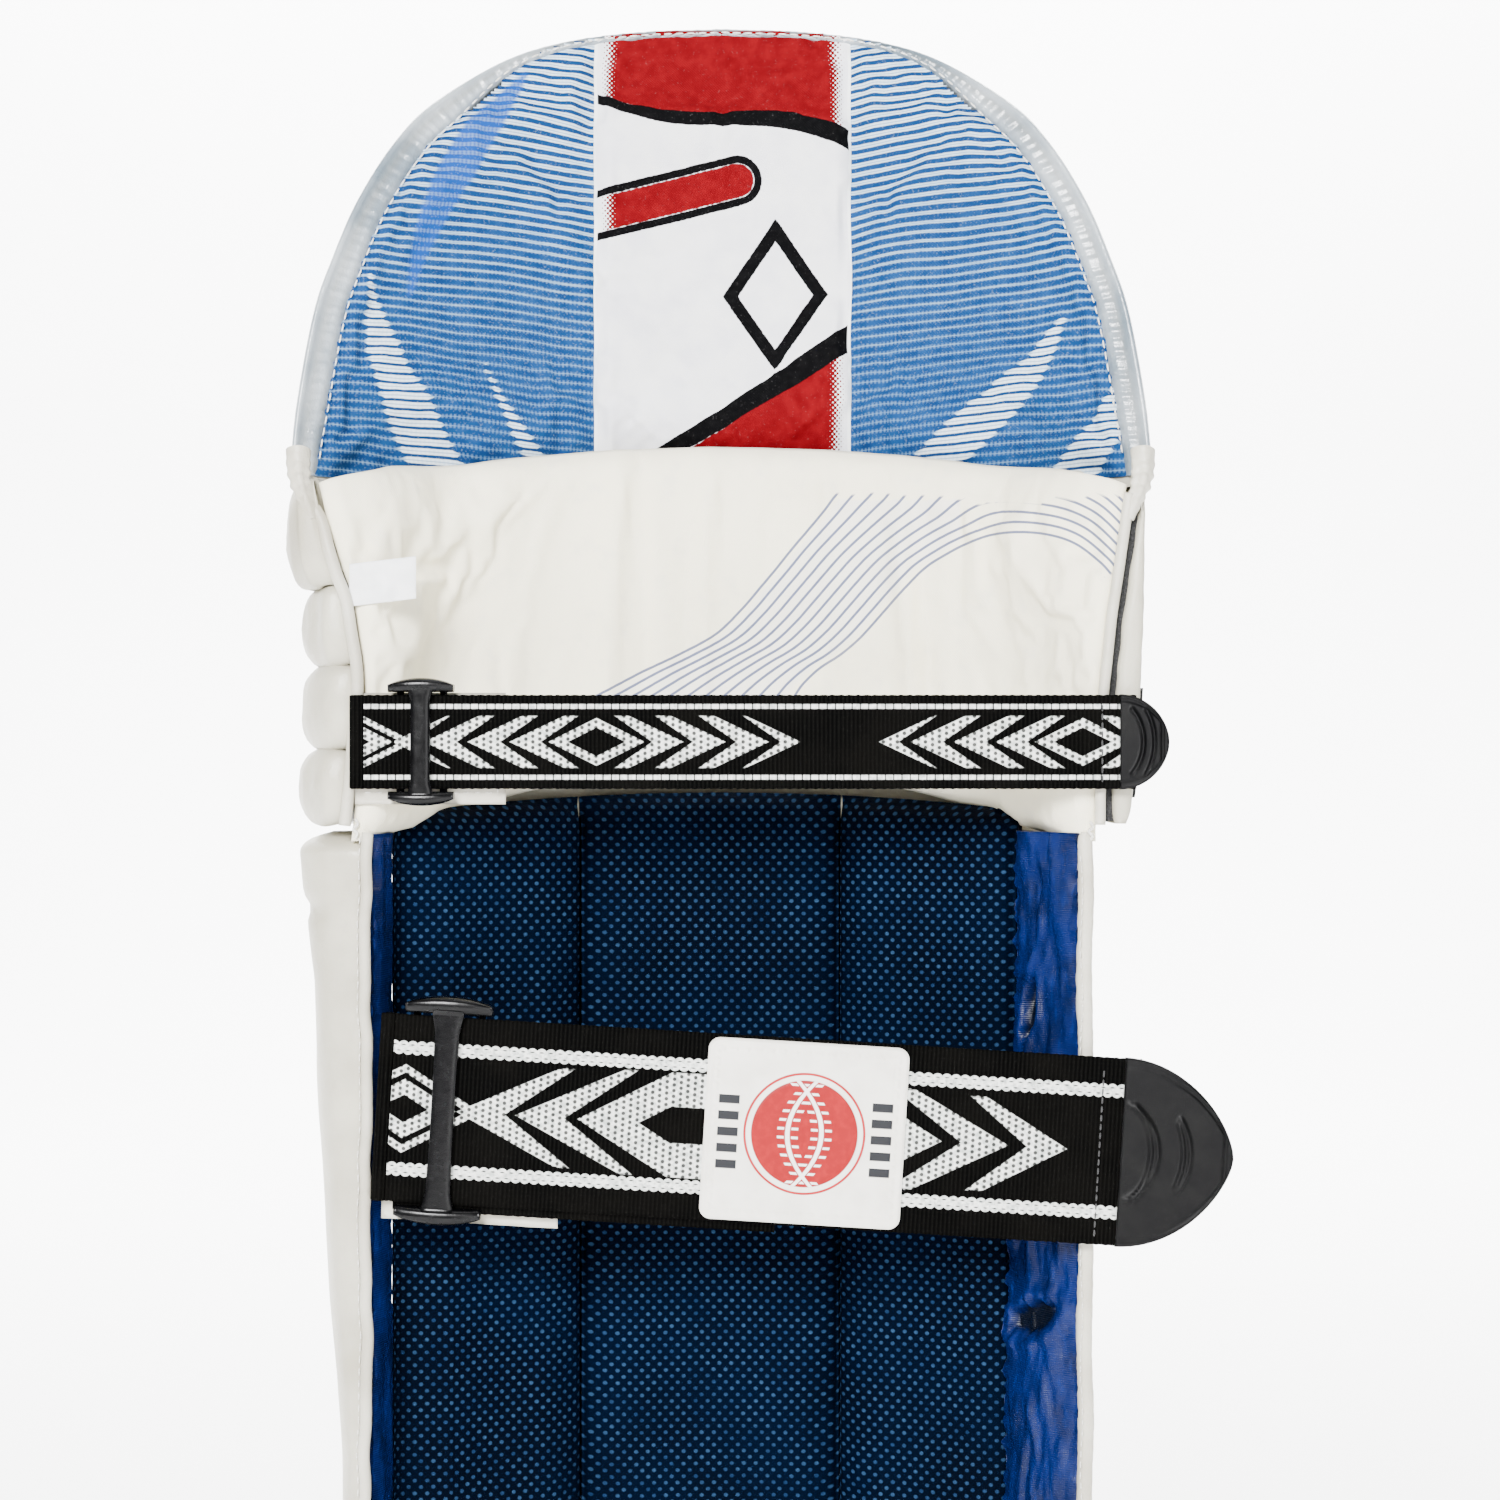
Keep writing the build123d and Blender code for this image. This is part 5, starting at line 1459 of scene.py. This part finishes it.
def wing_line(t, off):
    """Plan point at distance t along the wing's middle line, off mm outward."""
    a0, a1, r = radians(31.5), radians(84.0), 22.0
    La = r * (a1 - a0)
    if t <= La:
        a = a0 + t / r
        return np.array([WRX + (r + off) * sin(a), WRY + (r + off) * cos(a)])
    a = a1
    p = np.array([WRX + (r + off) * sin(a), WRY + (r + off) * cos(a)])
    return p + (t - La) * np.array([cos(a), -sin(a)])


WL = 22.0 * radians(84 - 31.5) + 24.0
# outer skin, from the shin face round to the rim
tt = np.linspace(-1.0, WL - 1.6, 40)
zs = np.linspace(1.0, 366.2, 130)
T_, Zg = np.meshgrid(tt, zs, indexing="ij")
base = np.array([[wing_line(t, 3.4) for _ in (0,)][0] for t in tt])
nrmw = np.array([wing_line(t, 4.4) - wing_line(t, 3.4) for t in tt])
h = 1.1 * np.sin(np.clip((T_ + 3) / (WL + 1.4), 0, 1) * pi) ** 0.7 + 0.3 * wob(np.stack([T_, 0 * T_, Zg], -1), 26, 95)
e = np.minimum(Zg - 1.0, 366.2 - Zg)
h = h - 2.2 * np.exp(-e / 2.0)
Pw = np.stack([base[:, None, 0] + nrmw[:, None, 0] * h, base[:, None, 1] + nrmw[:, None, 1] * h, Zg], -1)
o_wing = mk("right_wing_outer", Pw, quads(*T_.shape)[:, ::-1], "right_wing", M_PU, node=["right_wing_cover", "right_wing_foam"],
   pat=np.stack([T_, Zg], -1), attrs={"dirt_and_shade": 0.1 + 0 * T_.ravel()})
# satin lining, gathered, with two pleats left open
o_wl = gathered("right_wing_lining", lambda t: np.array([79.6 + 3.2 * smooth(t, 180, 350), 27.4]), lambda t: wing_line(WL - 1.2, 0.4), 3.0, 366.3, "right_wing", "right_wing_lining",
         46, 520, 2.6, 92, opens=[(0.36, 316.5, 0.10, 9.0, 0.006), (0.42, 231.0, 0.26, 5.6, 0.030), (0.40, 128, 0.12, 4.0, 0.02)], depth=1.15)
# rim binding: a rolled strip round the free edge
zz = np.linspace(0.8, 366.6, 300)
M = 20
ph = np.linspace(0, 2 * pi, M, endpoint=False)
loops = []
d0 = wing_line(WL, 0) - wing_line(WL - 1, 0)
n0 = wing_line(WL, 1) - wing_line(WL, 0)
for z in zz:
    e = min(z - 0.8, 366.6 - z)
    sh = 1 - 0.5 * np.exp(-e / 0.9)
    wv = 0.35 * sin(z * 0.22) + 0.22 * sin(z * 0.83 + 1) + 0.15 * sin(z * 2.1)
    c = wing_line(WL - 1.6, 2.2) + n0 * 0.25 * sin(z * 0.13)
    a = (2.7 + 0.3 * wv) * np.sign(np.cos(ph)) * np.abs(np.cos(ph)) ** 0.8 * sh
    b = (2.15 + 0.2 * wv) * np.sign(np.sin(ph)) * np.abs(np.sin(ph)) ** 0.8 * sh
    q = c[None] + d0[None] * a[:, None] + n0[None] * b[:, None]
    loops.append(np.hstack([q, np.full((M, 1), z)]))
v, f, cp = closed_loft(loops)
pat = np.vstack([np.stack([np.tile(ph * 3, len(zz)), np.repeat(zz, M)], 1), [[0, 0], [0, 366]]])
mk("right_wing_binding", v, f, "right_wing", M_PIPE, node="right_wing_binding", pat=pat, caps=cp, attrs={"dirt_and_shade": np.full(len(v), 0.05)})
sp = wing_line(WL + 0.9, 0.9)
SP = np.array([[sp[0] + 0.3 * sin(z * 0.22), sp[1], z] for z in zz])
sn = np.tile([-0.35, -0.94, 0.0], (len(SP), 1))
stitches("right_wing_stitch", SP[3:-3], sn[3:-3], "right_wing", M_THREAD, pitch=2.9, length=2.0, r=0.22, lift=0.5)

# =================================================================== shin body
def arch_z(x, grow=0.0):
    r = ARCH_R + grow
    zc = ARCH_RISE - ARCH_R
    x = np.asarray(x, float)
    return np.where(np.abs(x) < r, zc + np.sqrt(np.maximum(r * r - x * x, 0.0)), -60.0)


A = np.linspace(-33.8, 31.4, 196)
nz = 90
t = np.linspace(0, 1, nz)
steps = (np.arange(7) - 3) * 8.6
if True:
    steps = steps + (-33.4 + 31.0) / 2.0 * 0.0
dl = np.abs(A[:, None] - steps[None]).min(1)
rr = np.where(176.5 * np.sin(np.radians(dl)) < 11.1, 176.5 * np.cos(np.radians(dl)) + np.sqrt(np.maximum(11.2 ** 2 - (176.5 * np.sin(np.radians(dl))) ** 2, 0)), 0)
rr = np.maximum(rr, 167.4 + 1.4 * np.exp(-((dl - 4.3) / 1.0) ** 2))
rr = np.convolve(np.pad(rr, 2, mode="edge"), np.ones(5) / 5, "valid")
ends = np.minimum(A + 33.8, 31.4 - A)
rr = rr - 0.0 * ends
G = np.zeros((len(A), nz, 3))
for k, a in enumerate(A):
    xm, _ = pol(176.0, a)
    z0 = max(2.4, float(arch_z(xm, 2.2)))
    z = z0 + (366.4 - z0) * t
    e = np.minimum(z - z0, 366.4 - z)
    r = 166.6 + (rr[k] - 166.6) * np.sqrt(np.clip(1 - (1 - np.clip(e / 5.0, 0, 1)) ** 2, 0, 1))
    x, y = pol(r, a)
    G[k] = np.stack([x, y, z], 1)
G[..., 1] += 0.35 * wob(G, 30, 99, stretch=(1, 1, 2.2)) * 1.0
# painted shade in the valleys between the ribs
o_ribs = mk("shin_ribs", G, quads(*G.shape[:2])[:, ::-1], "shin", M_PU, node=["shin_face", "shin_wadding"], pat=np.stack([np.broadcast_to(A[:, None] * 3, G.shape[:2]), G[..., 2]], -1),
   attrs={"dirt_and_shade": (0.25 * np.exp(-(rr[:, None] - 167) / 3.0) + 0 * G[..., 2]).ravel()})
for k in range(6):
    a = (steps[k] + steps[k + 1]) / 2
    x, y = pol(168.9, a)
    xm, _ = pol(176.0, a)
    z0 = max(6, float(arch_z(xm, 4)))
    P_ = np.array([[x, y, z] for z in np.linspace(z0 + 4, 360, 80)])
    stitches(f"shin_quilting_stitch_{k + 1}", P_, np.tile([sin(radians(a)), cos(radians(a)), 0.0], (80, 1)), "shin", M_THREAD, pitch=4.2, length=2.9, r=0.28, lift=0.2)


def slab(name, r0, r1, a0, a1, z_low, z1, body, mat, node, na=70, nzz=40, grow=3.2):
    """A curved board closed on all sides, cut by the arch at its lower edge."""
    A_ = np.linspace(a0, a1, na)
    P0, P1 = [], []
    for a in A_:
        row0, row1 = [], []
        for r, row in ((r0, row0), (r1, row1)):
            x, y = pol(r, a)
            z0 = max(z_low, float(arch_z(x, grow)))
            for q_ in np.linspace(0, 1, nzz):
                row.append((x, y, z0 + (z1 - z0) * q_))
        P0.append(row0); P1.append(row1)
    P0, P1 = np.array(P0), np.array(P1)
    n = na * nzz
    V1 = np.concatenate([P0.reshape(-1, 3), P1.reshape(-1, 3)])
    f = quads(na, nzz)
    faces = [list(q_) for q_ in f] + [list(q_[::-1] + n) for q_ in f]
    rim = [i * nzz for i in range(na)] + [(na - 1) * nzz + j for j in range(1, nzz)] + [i * nzz + nzz - 1 for i in range(na - 2, -1, -1)] + [j for j in range(nzz - 2, 0, -1)]
    for i in range(len(rim)):
        j = (i + 1) % len(rim)
        faces.append([rim[i], rim[j], rim[j] + n, rim[i] + n])
    return mk(name, V1, faces, body, mat, node=node, pat=V1[:, [0, 2]], attrs={"dirt_and_shade": np.full(2 * n, 0.3)})


slab("shin_board", 160.4, 165.6, -33.2, 30.8, 3.2, 366.0, "shin", M_PIPE, "shin_board")

# lower edge binding, along both feet and up over the instep arch
secs = []
M = 22
ph = np.linspace(0, 2 * pi, M, endpoint=False)
cr_ = 170.2 + 13.4 * np.sign(np.cos(ph)) * np.abs(np.cos(ph)) ** 0.45
off = 1.75 + 1.75 * np.sign(np.sin(ph)) * np.abs(np.sin(ph)) ** 0.8
xa = np.linspace(-1, 1, 90)
phi_max = np.arcsin(ARCH_HALF / ARCH_R)
stations = [("L", t_) for t_ in np.linspace(0, 1, 34)] + [("A", q_) for q_ in np.linspace(-1, 1, 100)[1:-1]] + [("R", t_) for t_ in np.linspace(0, 1, 34)]
zc_arch = ARCH_RISE - ARCH_R
for kind, q_ in stations:
    pts = []
    for r, o_ in zip(cr_, off):
        if kind in "LR":
            xs_ = -ARCH_HALF - 2.0 if kind == "L" else ARCH_HALF + 2.0
            as_ = np.degrees(np.arcsin(xs_ / r))
            a = -33.6 + (as_ + 33.6) * q_ if kind == "L" else as_ + (31.2 - as_) * q_
            x, y = pol(r, a)
            pts.append((x, y, 0.1 + o_))
        else:
            phi = q_ * phi_max
            x = (ARCH_R + o_) * sin(phi)
            z = zc_arch + (ARCH_R + o_) * cos(phi)
            y = CY + sqrt(r * r - x * x)
            pts.append((x, y, max(z, 0.1)))
    secs.append(pts)
L = np.asarray(secs)
L[..., 2] += 0.0
v, f, cp = closed_loft(L)
mk("instep_binding", v, f, "shin", M_BIND, node="instep_binding", pat=v[:, [0, 2]], caps=cp, attrs={"dirt_and_shade": np.full(len(v), 0.35)})

# ====================================================================== straps
def ribbon(name, x0, x1, w, body, mat, node, put, y=STRAP_Y, t=1.5, n=240, wave=0.12, seed=0, bow=lambda x: 0.0):
    """Flat webbing along x, front face first; put maps local points to plan."""
    xs = np.linspace(x0, x1, n)
    hw = w / 2
    vs = np.concatenate([[-hw, -hw + 0.25, -hw + 0.9], np.linspace(-hw + 2.0, hw - 2.0, 15), [hw - 0.9, hw - 0.25, hw]])
    dp = np.array([0.5, 0.2, 0.04] + [0.0] * 15 + [0.04, 0.2, 0.5])
    loops, pat = [], []
    for x in xs:
        wv = wave * (sin(x * 0.55 + seed) + 0.6 * sin(x * 1.3 + seed * 2))
        e = 0.10 * sin(x * 2.7 + seed)
        b_ = bow(x)
        front = np.stack([np.full(len(vs), x), y + t * dp + b_ + wv * 0.6 * (vs / hw) ** 2, vs + e * np.sign(vs) * (np.abs(vs) > hw - 1)], 1)
        back = np.stack([np.full(len(vs), x), y + t * (1 - dp) + b_ + wv * 0.6 * (vs / hw) ** 2, vs + e * np.sign(vs) * (np.abs(vs) > hw - 1)], 1)
        loops.append(np.vstack([front, back[::-1]]))
        pat.append(np.vstack([np.stack([np.full(len(vs), x - x0), vs, np.ones(len(vs))], 1), np.stack([np.full(len(vs), x - x0), vs[::-1], np.zeros(len(vs))], 1)]))
    L = np.asarray(loops)
    v, f, cp = closed_loft(L)
    pat = np.vstack([np.asarray(pat).reshape(-1, 3), [[0, 0, 0], [x1 - x0, 0, 0]]])
    return mk(name, put(v), f, body, mat, node=node, pat=pat, caps=cp)


def put_knee(p):
    p = np.asarray(p, float)
    return p + np.array([0, 0, 391.2])


def put_calf(p):
    p = np.asarray(p, float)
    c, s_ = cos(TILT), sin(TILT)
    return np.stack([-91.4 + p[..., 0] * c + p[..., 2] * s_, p[..., 1], 292.2 - p[..., 0] * s_ + p[..., 2] * c], -1)


KX0, KX1, KW = -98.6, 108.4, 25.5
CL, CW = 200.2, 51.0
ribbon("knee_strap", KX0 - 0.6, KX1 + 4.5, KW, "knee_strap", M_WEB_K, "knee_strap", put_knee, seed=1, bow=lambda x: 2.8 * np.exp(-(x - KX0 + 0.6) / 2.4))
ribbon("knee_strap_return", -70.0, 11.0, KW - 0.6, "knee_strap", M_WEB_K, None, put_knee, y=-3.35, t=0.9, n=60, seed=4)
ribbon("calf_strap", -0.4, CL + 4.5, CW, "calf_strap", M_WEB_C, "calf_strap", put_calf, seed=2, bow=lambda x: 2.8 * np.exp(-(x + 0.4) / 2.4))
ribbon("calf_strap_return", 4.0, 108.0, CW - 0.4, "calf_strap", M_WEB_C, None, lambda p: put_calf(np.asarray(p) + [0, 0, -2.4]), y=-3.3, t=0.8, n=80, seed=5)


def hub(name, x, w, body, put):
    n = 24
    loops = []
    for z in np.concatenate([[-w / 2, -w / 2 + 0.3], np.linspace(-w / 2 + 1, w / 2 - 1, 12), [w / 2 - 0.3, w / 2]]):
        k = 0.8 if abs(abs(z) - w / 2) < 0.01 else 1.0
        ph = np.linspace(0, 2 * pi, n, endpoint=False)
        loops.append(np.stack([x + 2.15 * k * np.cos(ph), -2.9 + 2.15 * k * np.sin(ph), np.full(n, z)], 1))
    v, f, cp = closed_loft(loops)
    pat = np.stack([np.arctan2(v[:, 1] + 2.9, v[:, 0] - x) * 2.15, v[:, 2], np.zeros(len(v))], 1)
    return mk(name, put(v), f, body, M_WEB_K, pat=pat, caps=cp)


hub("knee_strap_loop", KX0, KW, "knee_strap", put_knee)
hub("calf_strap_loop", 0.0, CW, "calf_strap", put_calf)
for nm, body, put, x, hw_ in (("knee_strap_tip_stitch", "knee_strap", put_knee, 103.6, 11.2), ("calf_strap_tip_stitch", "calf_strap", put_calf, 194.5, 23.5)):
    zl = np.linspace(-hw_, hw_, 30)
    P_ = put(np.stack([np.full(30, x), np.full(30, STRAP_Y), zl], 1))
    stitches(nm, P_, np.tile([0, -1.0, 0], (30, 1)), body, M_DARK_THREAD, pitch=2.4, length=1.9, r=0.24, lift=0.0)


def moulded_slide(name, x0, x1, w, bar, cap, body, node, put, taper=0.0):
    """Slide with lens-shaped end caps, a front bar and two rear bars, one mesh each side."""
    Vs, Fs = [], []

    def add(v, f, cp):
        b = sum(len(q_) for q_ in Vs)
        Vs.append(np.asarray(v))
        Fs.extend([[int(i) + b for i in q_] for q_ in list(f) + list(cp)])
    xm = (x0 + x1) / 2
    yt, yb = STRAP_Y - 0.35 - 2.6, STRAP_Y + 1.5 + 0.3 + 2.2
    half = w / 2 + 0.7
    ph = np.linspace(0, 2 * pi, 28, endpoint=False)
    for s_ in (-1, 1):
        zc = s_ * (half + cap / 2)
        loops = []
        for q_ in np.linspace(-1, 1, 31):
            k = (1 - abs(q_) ** 2.0) ** 0.8 if abs(q_) < 1 else 0.0
            k = max(k, 0.06)
            x = xm + q_ * (x1 - x0) / 2
            yy = (yt + yb) / 2 + (yb - yt) / 2 * np.sign(np.cos(ph)) * np.abs(np.cos(ph)) ** 0.7 * (0.55 + 0.45 * k)
            out = s_ * cap / 2 * np.sign(np.sin(ph)) * np.abs(np.sin(ph)) ** 0.75
            zz_ = zc + np.where(np.sin(ph) > 0, out * k, out)
            if s_ < 0:
                zz_ = zc + np.where(np.sin(ph) > 0, out * k, out)
            loops.append(np.stack([np.full(28, x), yy, zz_], 1))
        add(*closed_loft(loops))
    loops = []
    for z in np.linspace(-half - 1.2, half + 1.2, 41):
        q_ = z / half
        bw = bar / 2 * (1 + taper * (1 - min(abs(q_), 1) ** 2) * -1 + 0.25 * smooth(abs(q_), 0.8, 1.05))
        xx_ = xm + bw * np.sign(np.cos(ph)) * np.abs(np.cos(ph)) ** 0.6
        yy = yt + 1.25 + 1.25 * np.sign(np.sin(ph)) * np.abs(np.sin(ph)) ** 0.6
        loops.append(np.stack([xx_, yy, np.full(28, z)], 1))
    add(*closed_loft(loops))
    ph2 = np.linspace(0, 2 * pi, 16, endpoint=False)
    for xr in (x0 + 3.0, x1 - 3.0):
        loops = [np.stack([xr + 1.05 * np.cos(ph2), STRAP_Y + 1.8 + 1.05 + 1.05 * np.sin(ph2), np.full(16, z)], 1) for z in np.linspace(-half - 0.8, half + 0.8, 5)]
        add(*closed_loft(loops))
    return mk(name, put(np.vstack(Vs)), Fs, body, M_PLASTIC, node=node)


moulded_slide("knee_slide", -90.0, -72.2, KW, 5.4, 3.9, "knee_slide", "knee_slide", put_knee)
moulded_slide("calf_slide", 4.6, 28.2, CW, 7.2, 4.9, "calf_slide", "calf_slide", put_calf, taper=0.12)


def rubber_tip(name, x0, x1, w, body, node, put, power, crescents, groove=1.9, bluntness=0.65):
    h = w / 2 + 0.15
    nu, nv = 70, 61
    u = np.linspace(0, 1, nu) ** 0.9
    vv = np.linspace(-1, 1, nv)
    U, W = np.meshgrid(u, vv, indexing="ij")
    x = x0 + (x1 - x0) * U
    hw_ = h * np.maximum(1 - U ** power, 1e-4) ** bluntness
    z = hw_ * W
    e = np.minimum(hw_ * (1 - np.abs(W)), (x1 - x) * 0.8 + 0.0)
    rim_in = np.minimum(e, 9)
    lift = 0.9 * np.sqrt(np.clip(1 - (1 - np.clip(rim_in / 1.3, 0, 1)) ** 2, 0, 1)) - 0.65 * bell(rim_in, groove, 0.42) + 0.1 * smooth(rim_in, 3, 6)
    for cx_, rad, wd_, ang in crescents:
        dd = np.hypot(x - cx_, z * 0.86) - rad
        th = np.degrees(np.arctan2(np.abs(z * 0.86), x - cx_))
        lift = lift + 0.95 * bell(dd, 0, wd_) * (1 - smooth(th, ang - 6, ang)) * (e > 1.5)
    front = np.stack([x, STRAP_Y - 0.15 - lift, z], -1)
    back = np.stack([x, STRAP_Y + 1.65 + 0.55 * np.sqrt(np.clip(1 - (1 - np.clip(rim_in / 1.3, 0, 1)) ** 2, 0, 1)), z], -1)
    n = nu * nv
    V1 = np.concatenate([front.reshape(-1, 3), back.reshape(-1, 3)])
    f = quads(nu, nv)
    faces = [list(q_[::-1]) for q_ in f] + [list(q_ + n) for q_ in f]
    rim = [i * nv for i in range(nu)] + [(nu - 1) * nv + j for j in range(1, nv)] + [i * nv + nv - 1 for i in range(nu - 2, -1, -1)] + [j for j in range(nv - 2, 0, -1)]
    for i in range(len(rim)):
        j = (i + 1) % len(rim)
        faces.append([rim[i], rim[j], rim[j] + n, rim[i] + n][::-1])
    return mk(name, put(V1), faces, body, M_RUBBER, node=node)


rubber_tip("knee_strap_tip", KX1, 121.8, KW, "knee_strap", "knee_strap_tip", put_knee, 2.0, [(104.0, 10.6, 0.5, 50), (104.0, 13.6, 0.45, 38)], groove=1.5, bluntness=0.54)
rubber_tip("calf_strap_tip", CL, 231.0, CW, "calf_strap", "calf_strap_tip", put_calf, 2.0, [(198.6, 11.6, 0.55, 78), (193.6, 14.8, 0.55, 52), (205.6, 13.4, 0.5, 44), (201.4, 15.8, 0.5, 32)], groove=1.9)

# badge on the calf strap
bx0, bx1, bh = 87.2, 141.6, 24.6
nu, nv = 150, 136
u = np.linspace(0, 1, nu); w_ = np.linspace(0, 1, nv)
U, W = np.meshgrid(u, w_, indexing="ij")
x = bx0 + (bx1 - bx0) * U
z = -bh + 2 * bh * W
cxm = (bx0 + bx1) / 2
hx_, hz_ = (bx1 - bx0) / 2, bh
rc = 3.2
# rounded corners: pull the corner points in onto a quarter circle
dx = np.maximum(np.abs(x - cxm) - (hx_ - rc), 0); dz = np.maximum(np.abs(z) - (hz_ - rc), 0)
mx = np.maximum(dx, dz); ln = np.hypot(dx, dz)
kk = np.where(ln > 1e-6, mx / np.maximum(ln, 1e-6), 1)
x = np.where(dx > 0, cxm + np.sign(x - cxm) * (hx_ - rc + dx * kk), x)
z = np.where(dz > 0, np.sign(z) * (hz_ - rc + dz * kk), z)
dx = np.maximum(np.abs(x - cxm) - (hx_ - rc), 0); dz = np.maximum(np.abs(z) - (hz_ - rc), 0)
e = np.minimum(np.minimum(hx_ - np.abs(x - cxm), hz_ - np.abs(z)), np.where((dx > 0) & (dz > 0), rc - np.hypot(dx, dz), 99))
up_ = 1.15 * np.sqrt(np.clip(1 - (1 - np.clip(e / 0.9, 0, 1)) ** 2, 0, 1)) - 0.25 * smooth(e, 1.2, 1.7) + 0.12 * smooth(e, 3.6, 4.2)
# embossed dashes that read as a stitched border
per = np.where(np.abs(z) / hz_ > np.abs(x - cxm) / hx_, x, z)
dash = smooth(np.abs(((per / 3.3) % 1.0) - 0.5), 0.36, 0.28)
up_ = up_ + 0.6 * bell(e, 2.7, 0.45) * dash - 0.22 * bell(e, 2.7, 0.8)
rr_ = np.hypot(x - cxm, z)
up_ = up_ + 0.35 * (1 - smooth(rr_, 14.0, 14.8)) + 0.2 * bell(rr_, 16.2, 0.35)
front = np.stack([x, -6.05 - up_, z], -1)
back = np.stack([x, np.full_like(x, -5.06), z], -1)
n = nu * nv
V1 = np.concatenate([front.reshape(-1, 3), back.reshape(-1, 3)])
f = quads(nu, nv)
faces = [list(q_[::-1]) for q_ in f] + [list(q_ + n) for q_ in f]
rim = [i * nv for i in range(nu)] + [(nu - 1) * nv + j for j in range(1, nv)] + [i * nv + nv - 1 for i in range(nu - 2, -1, -1)] + [j for j in range(nv - 2, 0, -1)]
for i in range(len(rim)):
    j = (i + 1) % len(rim)
    faces.append([rim[i], rim[j], rim[j] + n, rim[i] + n][::-1])
mk("calf_badge", put_calf(V1), faces, "calf_strap", M_BADGE, node="calf_badge", pat=np.concatenate([np.stack([x - cxm, z], -1).reshape(-1, 2)] * 2))

# ------------------------------------------------------- carried-over CAD nodes
M_CANE = Mat("cane", rough=0.5, spec=0.4)
_p = M_CANE.obj()
M_CANE.color(M_CANE.mix(M_CANE.noise(_p, 6, 3).step(0.35, 0.7), srgb(206, 170, 112), srgb(176, 136, 82)))
M_CANE.bump((M_CANE.noise(_p, 1.2, 3), 0.1))
for nm, ob in frame["nodes"].items():
    if nm.startswith("shin_cane"):
        mt = M_CANE
    elif nm.endswith("hook_tape") or nm.endswith("loop_patch"):
        mt = M_HOOK
    else:
        continue
    ob.data.materials.clear()
    ob.data.materials.append(mt.mat)

# ------------------------------------------------------------- floor, backdrop
fm = Mat("floor", rough=0.7, spec=0.2)
fm.color(fm.mix(fm.noise(fm.obj(), 400, 2).step(0.2, 0.8), (0.93, 0.93, 0.93), (0.90, 0.90, 0.90)))
me = bpy.data.meshes.new("floor")
cove = [(-2.4, 0.0), (2.4, 0.0)] + [(2.4 + 0.8 * sin(radians(a)), 0.8 - 0.8 * cos(radians(a))) for a in range(6, 91, 6)] + [(3.2, 3.4)]
vv = []
for y_, z_ in cove:
    vv += [(-9.0, y_, z_ - 0.0005), (9.0, y_, z_ - 0.0005)]
me.from_pydata(vv, [], [[2 * k, 2 * k + 1, 2 * k + 3, 2 * k + 2] for k in range(len(cove) - 1)])
me.polygons.foreach_set("use_smooth", [True] * len(me.polygons))
floor = bpy.data.objects.new("floor", me)
scene.collection.objects.link(floor)
me.materials.append(fm.mat)
floor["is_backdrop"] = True

lo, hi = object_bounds()
cad = [[float(q_) for q_ in CAD_BOX[0]], [float(q_) for q_ in CAD_BOX[1]]]
{"cad_box": cad, "visual_box": [[float(q_) for q_ in lo], [float(q_) for q_ in hi]]}
